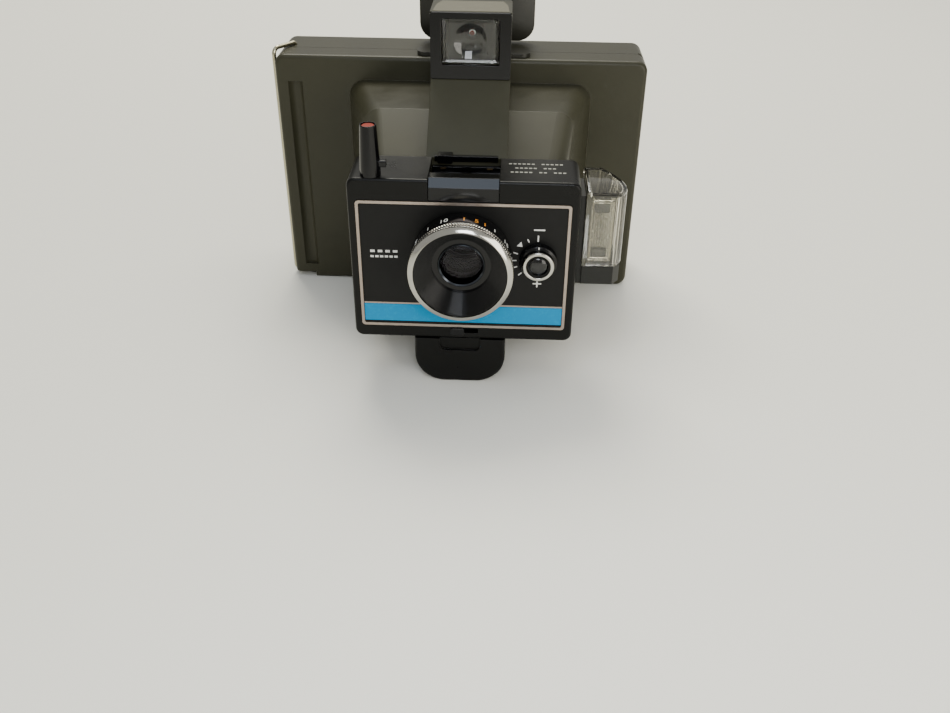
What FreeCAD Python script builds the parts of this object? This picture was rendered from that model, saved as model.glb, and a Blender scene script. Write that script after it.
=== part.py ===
import FreeCAD, Part
import math
import os

import Sketcher

# Rigid pack-film instant camera.
# Frame: millimetres, +Z up. X = 0 is the lens axis, Y = 0 the film plane, Z = 0 the surface the camera
# stands on. The lens looks along -Y, so a "forward" distance f lies at Y = -f. Left and right are a
# viewer's who faces the lens: left is -X.

SIZES = {
    # film back, and the cone moulded in one with it
    "back_left": (95.3, "lens axis to the end where the film is pulled out"),
    "back_right": (82.7, "lens axis to the hinge end"),
    "back_height": (119.6, "film back, bottom to top"),
    "back_corner": (5.0, "corner radius of the film back seen from the front"),
    "back_forward": (9.0, "film plane to the front face of the film back"),
    "rim_back": (4.6, "film plane to the rear edge of the rim"),
    "front_wall": (3.0, "front wall of the film back"),
    "wall": (2.4, "other walls of the film back, cone and rear door"),
    "back_rounding": (2.0, "rounding of the front edge of the film back"),
    "groove_x": (85.9, "lens axis to the middle of the finger groove"),
    "groove_radius": (4.1, "radius of the finger groove"),
    "groove_depth": (2.0, "depth of the finger groove"),
    "groove_low": (8.0, "lower end of the finger groove"),
    "groove_high": (107.0, "upper end of the finger groove"),
    "cone_left": (60.2, "lens axis to the cone's left side at the film back"),
    "cone_right": (57.0, "lens axis to the cone's right side at the film back"),
    "cone_low": (18.6, "underside of the cone"),
    "cone_high": (108.5, "flat top of the cone"),
    "cone_corner": (8.0, "corner radius of the cone"),
    "shoulder_forward": (49.0, "film plane to the cone's shoulder"),
    "shoulder_half": (47.0, "half width of the cone at its shoulder"),
    "neck_half": (42.5, "half width of the cone at its front end"),
    "neck_low": (34.0, "underside of the cone's front end"),
    "neck_high": (93.0, "top of the cone's front end"),
    "gate_wide": (95.0, "picture, left to right"),
    "gate_tall": (73.0, "picture, bottom to top"),
    "gate_border": (6.5, "rim of the film gate around the picture"),
    "gate_thick": (1.2, "thickness of the film gate"),
    # rear door, its hinge and its latch
    "door_gap": (0.3, "gap between the rim and the rear door"),
    "door_back": (28.0, "film plane to the rear face of the door"),
    "door_rounding": (4.0, "rounding of the door's rear edges"),
    "knuckle_radius": (2.5, "outside radius of the hinge knuckles"),
    "hinge_pin_radius": (1.0, "hinge pin"),
    "hinge_inset": (12.0, "end of the film back to the first knuckle"),
    "knuckle_length": (12.0, "length of one knuckle of the film back"),
    "running": (0.05, "radial clearance of a shaft that turns in a hole"),
    "gap": (0.3, "clearance between pieces that move past each other"),
    "exit_low": (12.0, "lower end of the film exit slot"),
    "exit_front": (8.0, "film plane back to the near edge of the exit slot"),
    "exit_back": (17.0, "film plane back to the far edge of the exit slot"),
    "spring_width": (12.0, "width of a pressure spring"),
    "spring_length": (62.0, "length of a pressure spring"),
    "spring_rise": (7.0, "height of a pressure spring's bow"),
    "spring_thick": (0.5, "thickness of a pressure spring"),
    "bail_wire": (2.0, "diameter of the latch bail's wire"),
    "bail_pivot_x": (88.3, "lens axis to the bail's pivot"),
    "bail_pivot_back": (9.0, "film plane back to the bail's pivot"),
    "bail_bar_forward": (2.5, "film plane forward to the bail's long bar"),
    "bail_notch": (3.2, "height of the notch for the bail's lower arm"),
    "bail_room": (7.5, "bail's pivot back to the end of the notch that its lower arm swings in"),
    "bail_bend": (3.0, "radius of the bail's outer bends"),
    # rollers
    "roller_radius": (4.2, "spreader roller"),
    "roller_nip": (0.4, "gap between the rollers"),
    "roller_x": (85.6, "lens axis to the roller axes"),
    "roller_back": (12.4, "film plane back to the nip"),
    "axle_radius": (1.5, "roller axle"),
    "roller_low": (12.0, "lower end of the rollers"),
    "ear_thick": (1.6, "thickness of the roller frame"),
    # front cover
    "cover_left": (47.4, "lens axis to the left side of the front cover"),
    "cover_right": (48.2, "lens axis to the right side of the front cover"),
    "cover_low": (23.2, "underside of the front cover"),
    "cover_high": (97.9, "top of the front cover"),
    "cover_rear": (78.5, "film plane to the rear edge of the front cover"),
    "cover_front": (103.7, "film plane to the front face of the front cover"),
    "cover_wall": (2.2, "wall of the front cover"),
    "cover_corner": (3.5, "corner radius of the front cover"),
    "cover_rounding": (1.2, "rounding of the front edge of the front cover"),
    "frame_left": (44.2, "lens axis to the left side of the bright frame"),
    "frame_right": (44.9, "lens axis to the right side of the bright frame"),
    "frame_low": (29.1, "lower side of the bright frame"),
    "frame_high": (88.6, "upper side of the bright frame"),
    "frame_line": (1.3, "width of the bright frame's line"),
    "frame_corner": (1.6, "corner radius of the bright frame"),
    "selector_height": (27.2, "film speed slide above the base"),
    "selector_x": (-2.0, "lens axis to the film speed slide"),
    "selector_travel": (7.0, "travel of the film speed slide"),
    "frame_proud": (0.4, "height of the bright frame above the cover"),
    "panel_thick": (0.8, "thickness of the front panel"),
    "stripe_low": (31.5, "lower side of the coloured stripe"),
    "stripe_high": (39.9, "upper side of the coloured stripe"),
    "stripe_thick": (0.25, "thickness of the coloured stripe"),
    "plate_thick": (1.6, "thickness of the shutter plate"),
    "boss_radius": (2.7, "screw boss"),
    "boss_inset": (3.2, "cover side to the middle of a screw boss"),
    "screw_radius": (1.2, "thread of a cover screw"),
    "screw_length": (14.0, "length of a cover screw under its head"),
    "head_radius": (1.9, "head of a cover screw"),
    "head_thick": (1.2, "thickness of a screw head"),
    "board_wide": (25.5, "timing board, left to right"),
    "board_tall": (13.4, "timing board, bottom to top"),
    "board_thick": (1.2, "thickness of the timing board"),
    # lens
    "lens_height": (63.5, "lens axis above the base"),
    "barrel_rear": (83.0, "film plane to the rear end of the lens barrel"),
    "barrel_front": (6.3, "cover's face to the front end of the lens barrel"),
    "barrel_radius": (15.5, "outside of the lens barrel"),
    "barrel_bore": (12.7, "bore in which the focusing sleeve turns"),
    "flange_radius": (24.0, "flange of the lens barrel"),
    "flange_thick": (2.2, "thickness of the flange"),
    "glass_radius": (9.8, "radius of the lens elements"),
    "seat_width": (1.3, "width of the seat behind a lens element"),
    "collar_radius": (21.2, "black collar of the focusing ring"),
    "collar_rear": (0.7, "cover's face to the rear edge of the focusing ring"),
    "grip_rear": (11.7, "cover's face to the rear edge of the knurled grip"),
    "grip_front": (17.1, "cover's face to the front of the knurled grip"),
    "grip_radius": (21.7, "outside of the knurled grip"),
    "grip_wall": (1.9, "wall of the knurled grip"),
    "rim_radius": (19.1, "mouth of the focusing ring"),
    "throat_radius": (12.5, "narrow end of the ridged funnel"),
    "throat_forward": (7.9, "cover's face to the narrow end of the funnel"),
    "sleeve_rear": (-3.7, "cover's face to the rear end of the focusing sleeve"),
    # exposure dial and light cell
    "dial_x": (32.0, "lens axis to the dial's axis"),
    "dial_height": (63.0, "dial's axis above the base"),
    "dial_front": (6.3, "cover's face to the front of the dial"),
    "dial_radius": (6.6, "bright rim of the dial"),
    "skirt_radius": (8.0, "skirt of the dial"),
    "skirt_front": (3.5, "cover's face to the front of the skirt"),
    "tube_radius": (5.0, "tube that the dial turns on"),
    "cell_radius": (4.2, "window of the light cell"),
    # release
    "post_x": (37.7, "lens axis to the release post"),
    "post_forward": (99.2, "film plane to the release post"),
    "post_top": (119.0, "top of the release post"),
    "post_base_radius": (4.3, "release post at its foot"),
    "post_top_radius": (3.4, "release post at its top"),
    "button_radius": (2.9, "release button"),
    "button_length": (8.0, "head of the release button"),
    "button_sunk": (0.4, "top of the button below the rim of the post"),
    "stem_radius": (1.0, "stem of the release button"),
    "stem_low": (82.0, "lower end of the button's stem"),
    "release_travel": (4.0, "travel of the release button"),
    # flash
    "socket_left": (14.2, "lens axis to the left side of the flash socket"),
    "socket_right": (15.1, "lens axis to the right side of the flash socket"),
    "socket_floor": (88.6, "underside of the flash socket at the front"),
    "ledge_high": (97.6, "front ledge of the flash socket"),
    "ledge_bevel": (3.2, "bevel along the front edge of the ledge"),
    "ledge_rear": (94.8, "film plane to the rear of the ledge"),
    "turret_forward": (87.0, "film plane to the turret's axis"),
    "turret_radius": (6.6, "outside of the flashcube turret"),
    "stem_bore": (5.2, "bore for the flashcube's stem"),
    "turret_low": (82.5, "underside of the turret"),
    "turret_high": (91.5, "top of the turret"),
    "eject_travel": (2.0, "travel of the eject lever"),
    "shield_low": (57.7, "lower edge of the flash shield"),
    "shield_high": (91.0, "top of the flash shield"),
    "shield_front": (97.0, "film plane to the front of the flash shield"),
    "shield_wall": (2.2, "wall of the flash shield"),
    "shield_left": (51.0, "lens axis to the inner side of the flash shield"),
    "shield_right": (67.5, "lens axis to the outer side of the flash shield"),
    "shield_rear": (68.0, "film plane to the rear of the flash shield"),
    "holder_low": (49.0, "underside of the shield's holder"),
    # finder
    "finder_half": (17.3, "half width of the finder"),
    "finder_x": (0.6, "lens axis to the finder's axis"),
    "finder_low": (2.8, "film back to the underside of the finder block at the front"),
    "finder_high": (30.9, "film back to the top of the finder block"),
    "finder_front": (49.0, "film plane to the front of the finder block"),
    "finder_back": (20.0, "film plane back to the rear of the finder"),
    "finder_flat": (29.0, "film plane to the rear end of the finder's flat top"),
    "eye_high": (23.4, "film back to the top of the finder at the eyepiece"),
    "eye_half": (12.5, "half width of the finder at the eyepiece"),
    "window_half": (12.9, "half width of the finder window"),
    "window_low": (8.6, "film back to the lower edge of the finder window"),
    "window_high": (28.7, "film back to the upper edge of the finder window"),
    "eye_radius": (5.0, "eyepiece opening"),
    "eye_height": (17.4, "film back to the eyepiece axis"),
    "mask_thick": (1.6, "thickness of the finder's front frame"),
    "cup_half": (28.3, "half width of the eyecup"),
    "cup_low": (0.8, "film back to the lower edge of the eyecup"),
    "cup_high": (34.4, "film back to the upper edge of the eyecup"),
    "cup_thick": (3.0, "thickness of the eyecup"),
    "cup_corner": (8.0, "corner radius of the eyecup"),
    "saddle_half": (27.0, "half width of the saddle under the finder"),
    "saddle_thick": (1.9, "thickness of the saddle"),
    # battery bay
    "bay_x": (-1.0, "middle of the battery bay"),
    "bay_half": (20.25, "half width of the battery cover"),
    "bay_front": (104.0, "film plane to the front of the battery cover"),
    "bay_rear": (44.0, "film plane to the rear of the battery cover"),
    "bay_corner": (13.5, "radius of the battery cover's lower corners"),
    "bay_wall": (2.0, "wall of the battery cover"),
    "cover_rim": (16.6, "upper edge of the battery cover's sides"),
    "lip_high": (22.8, "upper edge of the battery cover's front"),
    "cell_size": (14.2, "diameter of a cell"),
    "cell_long": (50.0, "length of a cell"),
    "cell_pitch": (15.2, "distance between the cells"),
    "cell_height": (9.8, "axis of the cells above the base"),
    "bay_pivot_forward": (47.8, "film plane to the battery cover's pivot"),
    "bay_swing": (2.8, "battery cover's pivot down to the top of its rear wall"),
    "bay_pivot_height": (12.6, "battery cover's pivot above the base"),
}

doc = FreeCAD.newDocument("InstantCamera")
sheet = doc.addObject("Spreadsheet::Sheet", "Dimensions")


class Size:
    """A number and the spreadsheet formula that gives it, so that plain sums stay bound to the sheet."""

    def __init__(self, formula, number):
        self.formula = formula
        self.number = float(number)

    def __neg__(self):
        return Size(f"(-{self.formula})", -self.number)

    def __add__(self, other):
        other = as_size(other)
        return Size(f"({self.formula} + {other.formula})", self.number + other.number)

    def __sub__(self, other):
        other = as_size(other)
        return Size(f"({self.formula} - {other.formula})", self.number - other.number)

    def __mul__(self, other):
        other = as_size(other)
        return Size(f"({self.formula} * {other.formula})", self.number * other.number)

    def __truediv__(self, other):
        other = as_size(other)
        return Size(f"({self.formula} / {other.formula})", self.number / other.number)

    def __radd__(self, other):
        return as_size(other) + self

    def __rsub__(self, other):
        return as_size(other) - self

    def __rmul__(self, other):
        return as_size(other) * self


def hypotenuse(first, second):
    """Long side of a right-angled triangle, tied to the sheet."""
    formula = f"sqrt({first.formula} ^ 2 + {second.formula} ^ 2)"
    return Size(formula, math.hypot(first.number, second.number))


def as_size(value):
    """Give a plain number the same form as a size from the sheet."""
    if isinstance(value, Size):
        return value
    return Size(f"({float(value)})", value)


class Dimensions:
    """The named sizes: fills the sheet, then gives each size as an attribute."""

    def __init__(self, table):
        for row, (name, (number, note)) in enumerate(table.items(), 1):
            sheet.set(f"A{row}", name)
            sheet.set(f"B{row}", str(number))
            sheet.set(f"C{row}", note)
            sheet.setAlias(f"B{row}", name)
            setattr(self, name, Size(f"Dimensions.{name}", number))


d = Dimensions(SIZES)
doc.recompute()

nodes = []
FORWARD = FreeCAD.Rotation(FreeCAD.Vector(1, 0, 0), 90)      # turns a body's own +Z to -Y
SIDEWAYS = FreeCAD.Rotation(FreeCAD.Vector(0, 1, 0), 90)     # turns a body's own +Z to +X
PLANES = {"front": "XZ_Plane", "side": "YZ_Plane", "top": "XY_Plane"}


def bind(thing, field, value):
    """Tie a property to the sheet."""
    thing.setExpression(field, as_size(value).formula)


def place(thing, x, y, z, turn=None):
    """Give a sub-part its place, tied to the sheet."""
    thing.Placement = FreeCAD.Placement(FreeCAD.Vector(), turn or FreeCAD.Rotation())
    for axis, where in zip("xyz", (x, y, z)):
        bind(thing, "Placement.Base." + axis, where)


def new_body(label, x=0, y=0, z=0, turn=None):
    """Start a sub-part that is made of sketches and features."""
    body = doc.addObject("PartDesign::Body", label)
    body.Label = label
    place(body, x, y, z, turn)
    nodes.append(body)
    return body


def keep(thing, label):
    """Take a finished primitive or boolean as a sub-part."""
    thing.Label = label
    nodes.append(thing)
    return thing


# ---- sketches -------------------------------------------------------------------------------------

def new_sketch(body, plane, offset=0):
    """Sketch on one of the body's own planes: front looks along -Y, side along +X, top along +Z."""
    sketch = body.newObject("Sketcher::SketchObject", body.Name + "_outline")
    origin = [f for f in body.Origin.OriginFeatures if f.Role == PLANES[plane]][0]
    sketch.AttachmentSupport = [(origin, "")]
    sketch.MapMode = "FlatFace"
    bind(sketch, "AttachmentOffset.Base.z", offset)
    return sketch


def constrain(sketch, kind, places, value):
    """Add one driving size to a sketch and tie it to the sheet."""
    value = as_size(value)
    index = sketch.addConstraint(Sketcher.Constraint(kind, *places, value.number))
    sketch.setExpression(f"Constraints[{index}]", value.formula)


def pin_point(sketch, geometry, point, x, y):
    """Hold a sketch point at (x, y) from the sketch's origin."""
    constrain(sketch, "DistanceX", (-1, 1, geometry, point), x)
    constrain(sketch, "DistanceY", (-1, 1, geometry, point), y)


def point_at(x, y):
    return FreeCAD.Vector(as_size(x).number, as_size(y).number, 0)


def polygon(sketch, points):
    """Closed outline of straight lines."""
    first = sketch.GeometryCount
    count = len(points)
    corners = [point_at(x, y) for x, y in points]
    for i in range(count):
        sketch.addGeometry(Part.LineSegment(corners[i], corners[(i + 1) % count]))
    for i in range(count):
        sketch.addConstraint(Sketcher.Constraint("Coincident", first + i, 2, first + (i + 1) % count, 1))
    for i, (x, y) in enumerate(points):
        pin_point(sketch, first + i, 1, x, y)


def circle(sketch, x, y, radius):
    """Circle with its centre and radius given."""
    ring = sketch.addGeometry(Part.Circle(point_at(x, y), FreeCAD.Vector(0, 0, 1), as_size(radius).number))
    pin_point(sketch, ring, 3, x, y)
    constrain(sketch, "Radius", (ring,), radius)


def rounded_box(sketch, left, right, low, high, radius):
    """Rectangle with four equal round corners."""
    first = sketch.GeometryCount
    r = as_size(radius).number
    centres = [(right - radius, low + radius), (right - radius, high - radius),
               (left + radius, high - radius), (left + radius, low + radius)]
    starts = [FreeCAD.Vector(0, -r, 0), FreeCAD.Vector(r, 0, 0),
              FreeCAD.Vector(0, r, 0), FreeCAD.Vector(-r, 0, 0)]
    quarter = math.pi / 2
    for i, (x, y) in enumerate(centres):
        before = point_at(*centres[i - 1]) + starts[i]
        here = point_at(x, y)
        sketch.addGeometry(Part.LineSegment(before, here + starts[i]))
        arc = Part.Circle(here, FreeCAD.Vector(0, 0, 1), r)
        sketch.addGeometry(Part.ArcOfCircle(arc, (i - 1) * quarter, i * quarter))
    for i, (x, y) in enumerate(centres):
        line, arc = first + 2 * i, first + 2 * i + 1
        following = first + (2 * i + 2) % 8
        sketch.addConstraint(Sketcher.Constraint("Tangent", line, 2, arc, 1))
        sketch.addConstraint(Sketcher.Constraint("Tangent", arc, 2, following, 1))
        pin_point(sketch, arc, 3, x, y)
        constrain(sketch, "Radius", (arc,), radius)


# ---- features -------------------------------------------------------------------------------------

def pad(body, sketch, length, reverse=False):
    """Add material along the sketch's direction, or against it."""
    feature = body.newObject("PartDesign::Pad", "pad")
    feature.Profile = sketch
    feature.Reversed = reverse
    bind(feature, "Length", length)
    return feature


def cut(body, sketch, length, reverse=False):
    """Remove material along the sketch's direction, or against it, and make sure that some went."""
    doc.recompute()
    before = body.Shape.Volume
    feature = body.newObject("PartDesign::Pocket", "pocket")
    feature.Profile = sketch
    feature.Reversed = not reverse
    bind(feature, "Length", length)
    doc.recompute()
    if body.Shape.Volume > before - 0.01:
        raise RuntimeError(f"a pocket of {body.Label} removed nothing")
    return feature


def turned(label, points, x=0, y=0, z=0, turn=None):
    """Body turned about its own +Z from an outline of (radius, height) points."""
    body = new_body(label, x, y, z, turn)
    sketch = new_sketch(body, "front")
    polygon(sketch, points)
    feature = body.newObject("PartDesign::Revolution", "revolution")
    feature.Profile = sketch
    feature.ReferenceAxis = (sketch, ["V_Axis"])
    feature.Angle = 360
    return body


def loft(body, kind, sketches):
    """Straight-sided loft through sketches: kind is AdditiveLoft or SubtractiveLoft."""
    feature = body.newObject("PartDesign::" + kind, "loft")
    feature.Profile = sketches[0]
    feature.Sections = sketches[1:]
    feature.Ruled = True
    return feature


def round_edges(body, radius, wanted):
    """Round the edges of the body so far for which wanted(edge) is true."""
    doc.recompute()
    tip = body.Tip
    names = [f"Edge{n}" for n, edge in enumerate(tip.Shape.Edges, 1) if wanted(edge)]
    feature = body.newObject("PartDesign::Fillet", "rounding")
    feature.Base = (tip, names)
    bind(feature, "Radius", radius)
    return feature


def on_plane(axis, where):
    """Edge test: all of an edge lies in one plane across the given axis."""
    def test(edge):
        spread = edge.BoundBox
        low, high = getattr(spread, axis + "Min"), getattr(spread, axis + "Max")
        return abs(low - as_size(where).number) < 0.02 and abs(high - as_size(where).number) < 0.02
    return test


def cylinder(label, radius, height, x, y, z, turn=None):
    """Plain round piece."""
    rod = doc.addObject("Part::Cylinder", label)
    bind(rod, "Radius", radius)
    bind(rod, "Height", height)
    place(rod, x, y, z, turn)
    return keep(rod, label)


def box(name, wide, deep, tall, x, y, z):
    """Plain block used inside a boolean: x, y, z is its lowest corner."""
    block = doc.addObject("Part::Box", name)
    bind(block, "Length", wide)
    bind(block, "Width", deep)
    bind(block, "Height", tall)
    place(block, x, y, z)
    return block


def rod(name, radius, height, x, y, z, turn=None):
    """Plain cylinder used inside a boolean."""
    piece = doc.addObject("Part::Cylinder", name)
    bind(piece, "Radius", radius)
    bind(piece, "Height", height)
    place(piece, x, y, z, turn)
    return piece


def fuse(name, pieces):
    joined = doc.addObject("Part::MultiFuse", name)
    joined.Shapes = pieces
    return joined


def subtract(name, base, tool):
    result = doc.addObject("Part::Cut", name)
    result.Base = base
    result.Tool = tool
    return result


# ---- places worked out from the sizes -------------------------------------------------------------

def above_back(size):
    """Height above the base of something that is measured up from the film back."""
    return d.back_height + size


def before_cover(size):
    """Distance from the film plane of something that is measured forward from the cover's face."""
    return d.cover_front + size


finder_low, finder_high = above_back(d.finder_low), above_back(d.finder_high)
window_low, window_high = above_back(d.window_low), above_back(d.window_high)
eye_high, eye_height = above_back(d.eye_high), above_back(d.eye_height)
cup_low, cup_high = above_back(d.cup_low), above_back(d.cup_high)
collar_rear, grip_rear, grip_front = map(before_cover, (d.collar_rear, d.grip_rear, d.grip_front))
throat_forward, barrel_front = before_cover(d.throat_forward), before_cover(d.barrel_front)
sleeve_rear = before_cover(d.sleeve_rear)
dial_front, skirt_front = before_cover(d.dial_front), before_cover(d.skirt_front)

# ---- film back and cone ---------------------------------------------------------------------------

hinge_x = d.back_right - d.knuckle_radius + 0.2
hinge_back = d.rim_back + d.door_gap + d.knuckle_radius
bail_bar_x = d.back_left + d.bail_wire / 2 + d.gap / 2
notch_end = -d.bail_pivot_x + 4


def cone_section(body, forward, left, right, low, high, radius, inset=0):
    """Round-cornered section of the cone, or of the space inside it."""
    sketch = new_sketch(body, "front", forward)
    rounded_box(sketch, -left + inset, right - inset, low + inset, high - inset, radius - inset)
    return sketch


def cone_sections(body, inset, rear, front):
    """The cone's sections at the film back, the shoulder and the front end."""
    return [
        cone_section(body, rear, d.cone_left, d.cone_right, d.cone_low, d.cone_high, d.cone_corner, inset),
        cone_section(body, d.shoulder_forward, d.shoulder_half, d.shoulder_half, d.cone_low, d.cone_high,
                     d.cone_corner, inset),
        cone_section(body, front, d.neck_half, d.neck_half, d.neck_low, d.neck_high, d.cone_corner, inset),
    ]


def body_shell():
    """Film back with its rim, the cone, the finger groove and the door's two outer knuckles."""
    body = new_body("body_shell")
    plate = new_sketch(body, "front", -d.rim_back)
    rounded_box(plate, -d.back_left, d.back_right, 0, d.back_height, d.back_corner)
    pad(body, plate, d.rim_back + d.back_forward)
    round_edges(body, d.back_rounding, on_plane("Y", -d.back_forward))
    loft(body, "AdditiveLoft", cone_sections(body, 0, d.back_forward - d.front_wall / 2, d.cover_rear))
    loft(body, "SubtractiveLoft", cone_sections(body, d.wall, d.back_forward - d.front_wall, d.cover_rear))
    chamber = new_sketch(body, "front", -d.rim_back)
    rounded_box(chamber, -d.back_left + d.wall, d.back_right - d.wall, d.wall, d.back_height - d.wall,
                d.back_corner - d.wall)
    cut(body, chamber, d.rim_back + d.back_forward - d.front_wall)
    groove = new_sketch(body, "top", d.groove_low)
    circle(groove, -d.groove_x, -d.back_forward - d.groove_radius + d.groove_depth, d.groove_radius)
    cut(body, groove, d.groove_high - d.groove_low)
    notch = new_sketch(body, "front", d.back_forward)
    polygon(notch, [(-d.back_left - 1, -1), (notch_end, -1),
                    (notch_end, d.bail_notch), (-d.back_left - 1, d.bail_notch)])
    cut(body, notch, d.back_forward + d.rim_back, reverse=True)
    floor = new_sketch(body, "front", d.back_forward - 0.5)
    polygon(floor, [(-d.back_left + 1, d.bail_notch), (notch_end + d.wall, d.bail_notch),
                    (notch_end + d.wall, d.bail_notch + 2), (-d.back_left + 1, d.bail_notch + 2)])
    pad(body, floor, d.back_forward + d.rim_back - 0.5, reverse=True)
    wall = new_sketch(body, "front", d.back_forward - 0.5)
    polygon(wall, [(notch_end, 1), (notch_end + d.wall, 1),
                   (notch_end + d.wall, d.bail_notch + 1), (notch_end, d.bail_notch + 1)])
    pad(body, wall, d.back_forward + d.rim_back - 0.5, reverse=True)
    for low in (d.hinge_inset, d.back_height - d.hinge_inset - d.knuckle_length):
        knuckle = new_sketch(body, "top", low)
        circle(knuckle, hinge_x, hinge_back, d.knuckle_radius)
        pad(body, knuckle, d.knuckle_length)
        web = new_sketch(body, "top", low)
        polygon(web,
                [(hinge_x - d.knuckle_radius, d.rim_back - 1),
                 (hinge_x + d.knuckle_radius - 0.6, d.rim_back - 1),
                      (hinge_x + d.knuckle_radius - 0.6, hinge_back),
                      (hinge_x - d.knuckle_radius, hinge_back)])
        pad(body, web, d.knuckle_length)
    bore = new_sketch(body, "top", 0)
    circle(bore, hinge_x, hinge_back, d.hinge_pin_radius)
    cut(body, bore, d.back_height)
    return body


def film_gate():
    """Frame that bounds the picture, just ahead of the film plane."""
    body = new_body("film_gate")
    sketch = new_sketch(body, "front", d.back_forward - d.front_wall - d.gate_thick)
    half_wide = d.gate_wide / 2 + d.gate_border + 3
    half_tall = d.gate_tall / 2 + d.gate_border + 3
    rounded_box(sketch, -half_wide, half_wide, d.lens_height - half_tall, d.lens_height + half_tall, 2)
    rounded_box(sketch, -d.gate_wide / 2, d.gate_wide / 2, d.lens_height - d.gate_tall / 2,
                d.lens_height + d.gate_tall / 2, 1)
    pad(body, sketch, d.gate_thick)
    return body


# ---- rear door, hinge pin, springs, bail ----------------------------------------------------------

def rear_door():
    """Tray-shaped door with the film exit slot, its hinge barrel and the bail's two pivot holes."""
    body = new_body("rear_door")
    front = d.rim_back + d.door_gap
    plate = new_sketch(body, "front", -front)
    rounded_box(plate, -d.back_left, d.back_right, 0, d.back_height, d.back_corner)
    pad(body, plate, d.door_back - front, reverse=True)
    round_edges(body, d.door_rounding, on_plane("Y", d.door_back))
    inside = new_sketch(body, "front", -front)
    rounded_box(inside, -d.back_left + d.wall, d.back_right - d.wall, d.wall, d.back_height - d.wall,
                d.back_corner - d.wall)
    cut(body, inside, d.door_back - front - d.wall, reverse=True)
    exit_slot = new_sketch(body, "side", -d.back_left - 1)
    rounded_box(exit_slot, d.exit_front, d.exit_back, d.exit_low, d.back_height - d.exit_low, 2)
    cut(body, exit_slot, d.wall + 2)
    notch = new_sketch(body, "front", -front)
    polygon(notch, [(-d.back_left - 1, -1), (notch_end, -1),
                    (notch_end, d.bail_notch), (-d.back_left - 1, d.bail_notch)])
    cut(body, notch, d.bail_pivot_back + d.bail_room - front, reverse=True)
    floor = new_sketch(body, "front", -front)
    polygon(floor, [(-d.back_left + 1, d.bail_notch), (notch_end + d.wall, d.bail_notch),
                    (notch_end + d.wall, d.bail_notch + 2), (-d.back_left + 1, d.bail_notch + 2)])
    pad(body, floor, d.bail_pivot_back + d.bail_room + d.wall - front, reverse=True)
    wall = new_sketch(body, "front", -front)
    polygon(wall, [(notch_end, 1), (notch_end + d.wall, 1),
                   (notch_end + d.wall, d.bail_notch + 1), (notch_end, d.bail_notch + 1)])
    pad(body, wall, d.bail_pivot_back + d.bail_room + d.wall - front, reverse=True)
    pivots = new_sketch(body, "top", 0)
    circle(pivots, -d.bail_pivot_x, d.bail_pivot_back, d.bail_wire / 2 + d.running)
    cut(body, pivots, d.back_height)
    swing = hinge_x - d.knuckle_radius - d.gap
    for low in (d.hinge_inset, d.back_height - d.hinge_inset - d.knuckle_length):
        room = new_sketch(body, "top", low - d.gap)
        polygon(room, [(swing, front - 1), (d.back_right + 1, front - 1),
                       (d.back_right + 1, hinge_back + d.knuckle_radius + d.gap),
                       (swing, hinge_back + d.knuckle_radius + d.gap)])
        cut(body, room, d.knuckle_length + 2 * d.gap)
    relief = new_sketch(body, "top", -1)
    polygon(relief, [(d.back_right - d.wall - 1, front - 1), (d.back_right + 1, front - 1),
                     (d.back_right + 1, hinge_back), (d.back_right - d.wall - 1, hinge_back)])
    cut(body, relief, d.back_height + 2)
    barrel_low = d.hinge_inset + d.knuckle_length + d.gap
    barrel = new_sketch(body, "top", barrel_low)
    circle(barrel, hinge_x, hinge_back, d.knuckle_radius)
    pad(body, barrel, d.back_height - 2 * barrel_low)
    bore = new_sketch(body, "top", barrel_low - 1)
    circle(bore, hinge_x, hinge_back, d.hinge_pin_radius + d.running)
    cut(body, bore, d.back_height - 2 * barrel_low + 2)
    return body


def pressure_springs():
    """Two bowed leaf springs that press the film pack forward."""
    body = new_body("pressure_springs")
    inner = d.door_back - d.wall
    rise = inner - d.spring_rise
    for middle in (d.back_height * 0.3, d.back_height * 0.7):
        leaf = new_sketch(body, "top", middle - d.spring_width / 2)
        half = d.spring_length / 2
        thick = d.spring_thick
        polygon(leaf, [(-half, inner), (-half, inner - thick), (-half * 0.7, inner - thick),
                       (-half * 0.3, rise), (half * 0.3, rise), (half * 0.7, inner - thick),
                       (half, inner - thick), (half, inner), (half * 0.66, inner),
                       (half * 0.26, rise + thick), (-half * 0.26, rise + thick), (-half * 0.66, inner)])
        pad(body, leaf, d.spring_width)
        doc.recompute()
    return body


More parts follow.
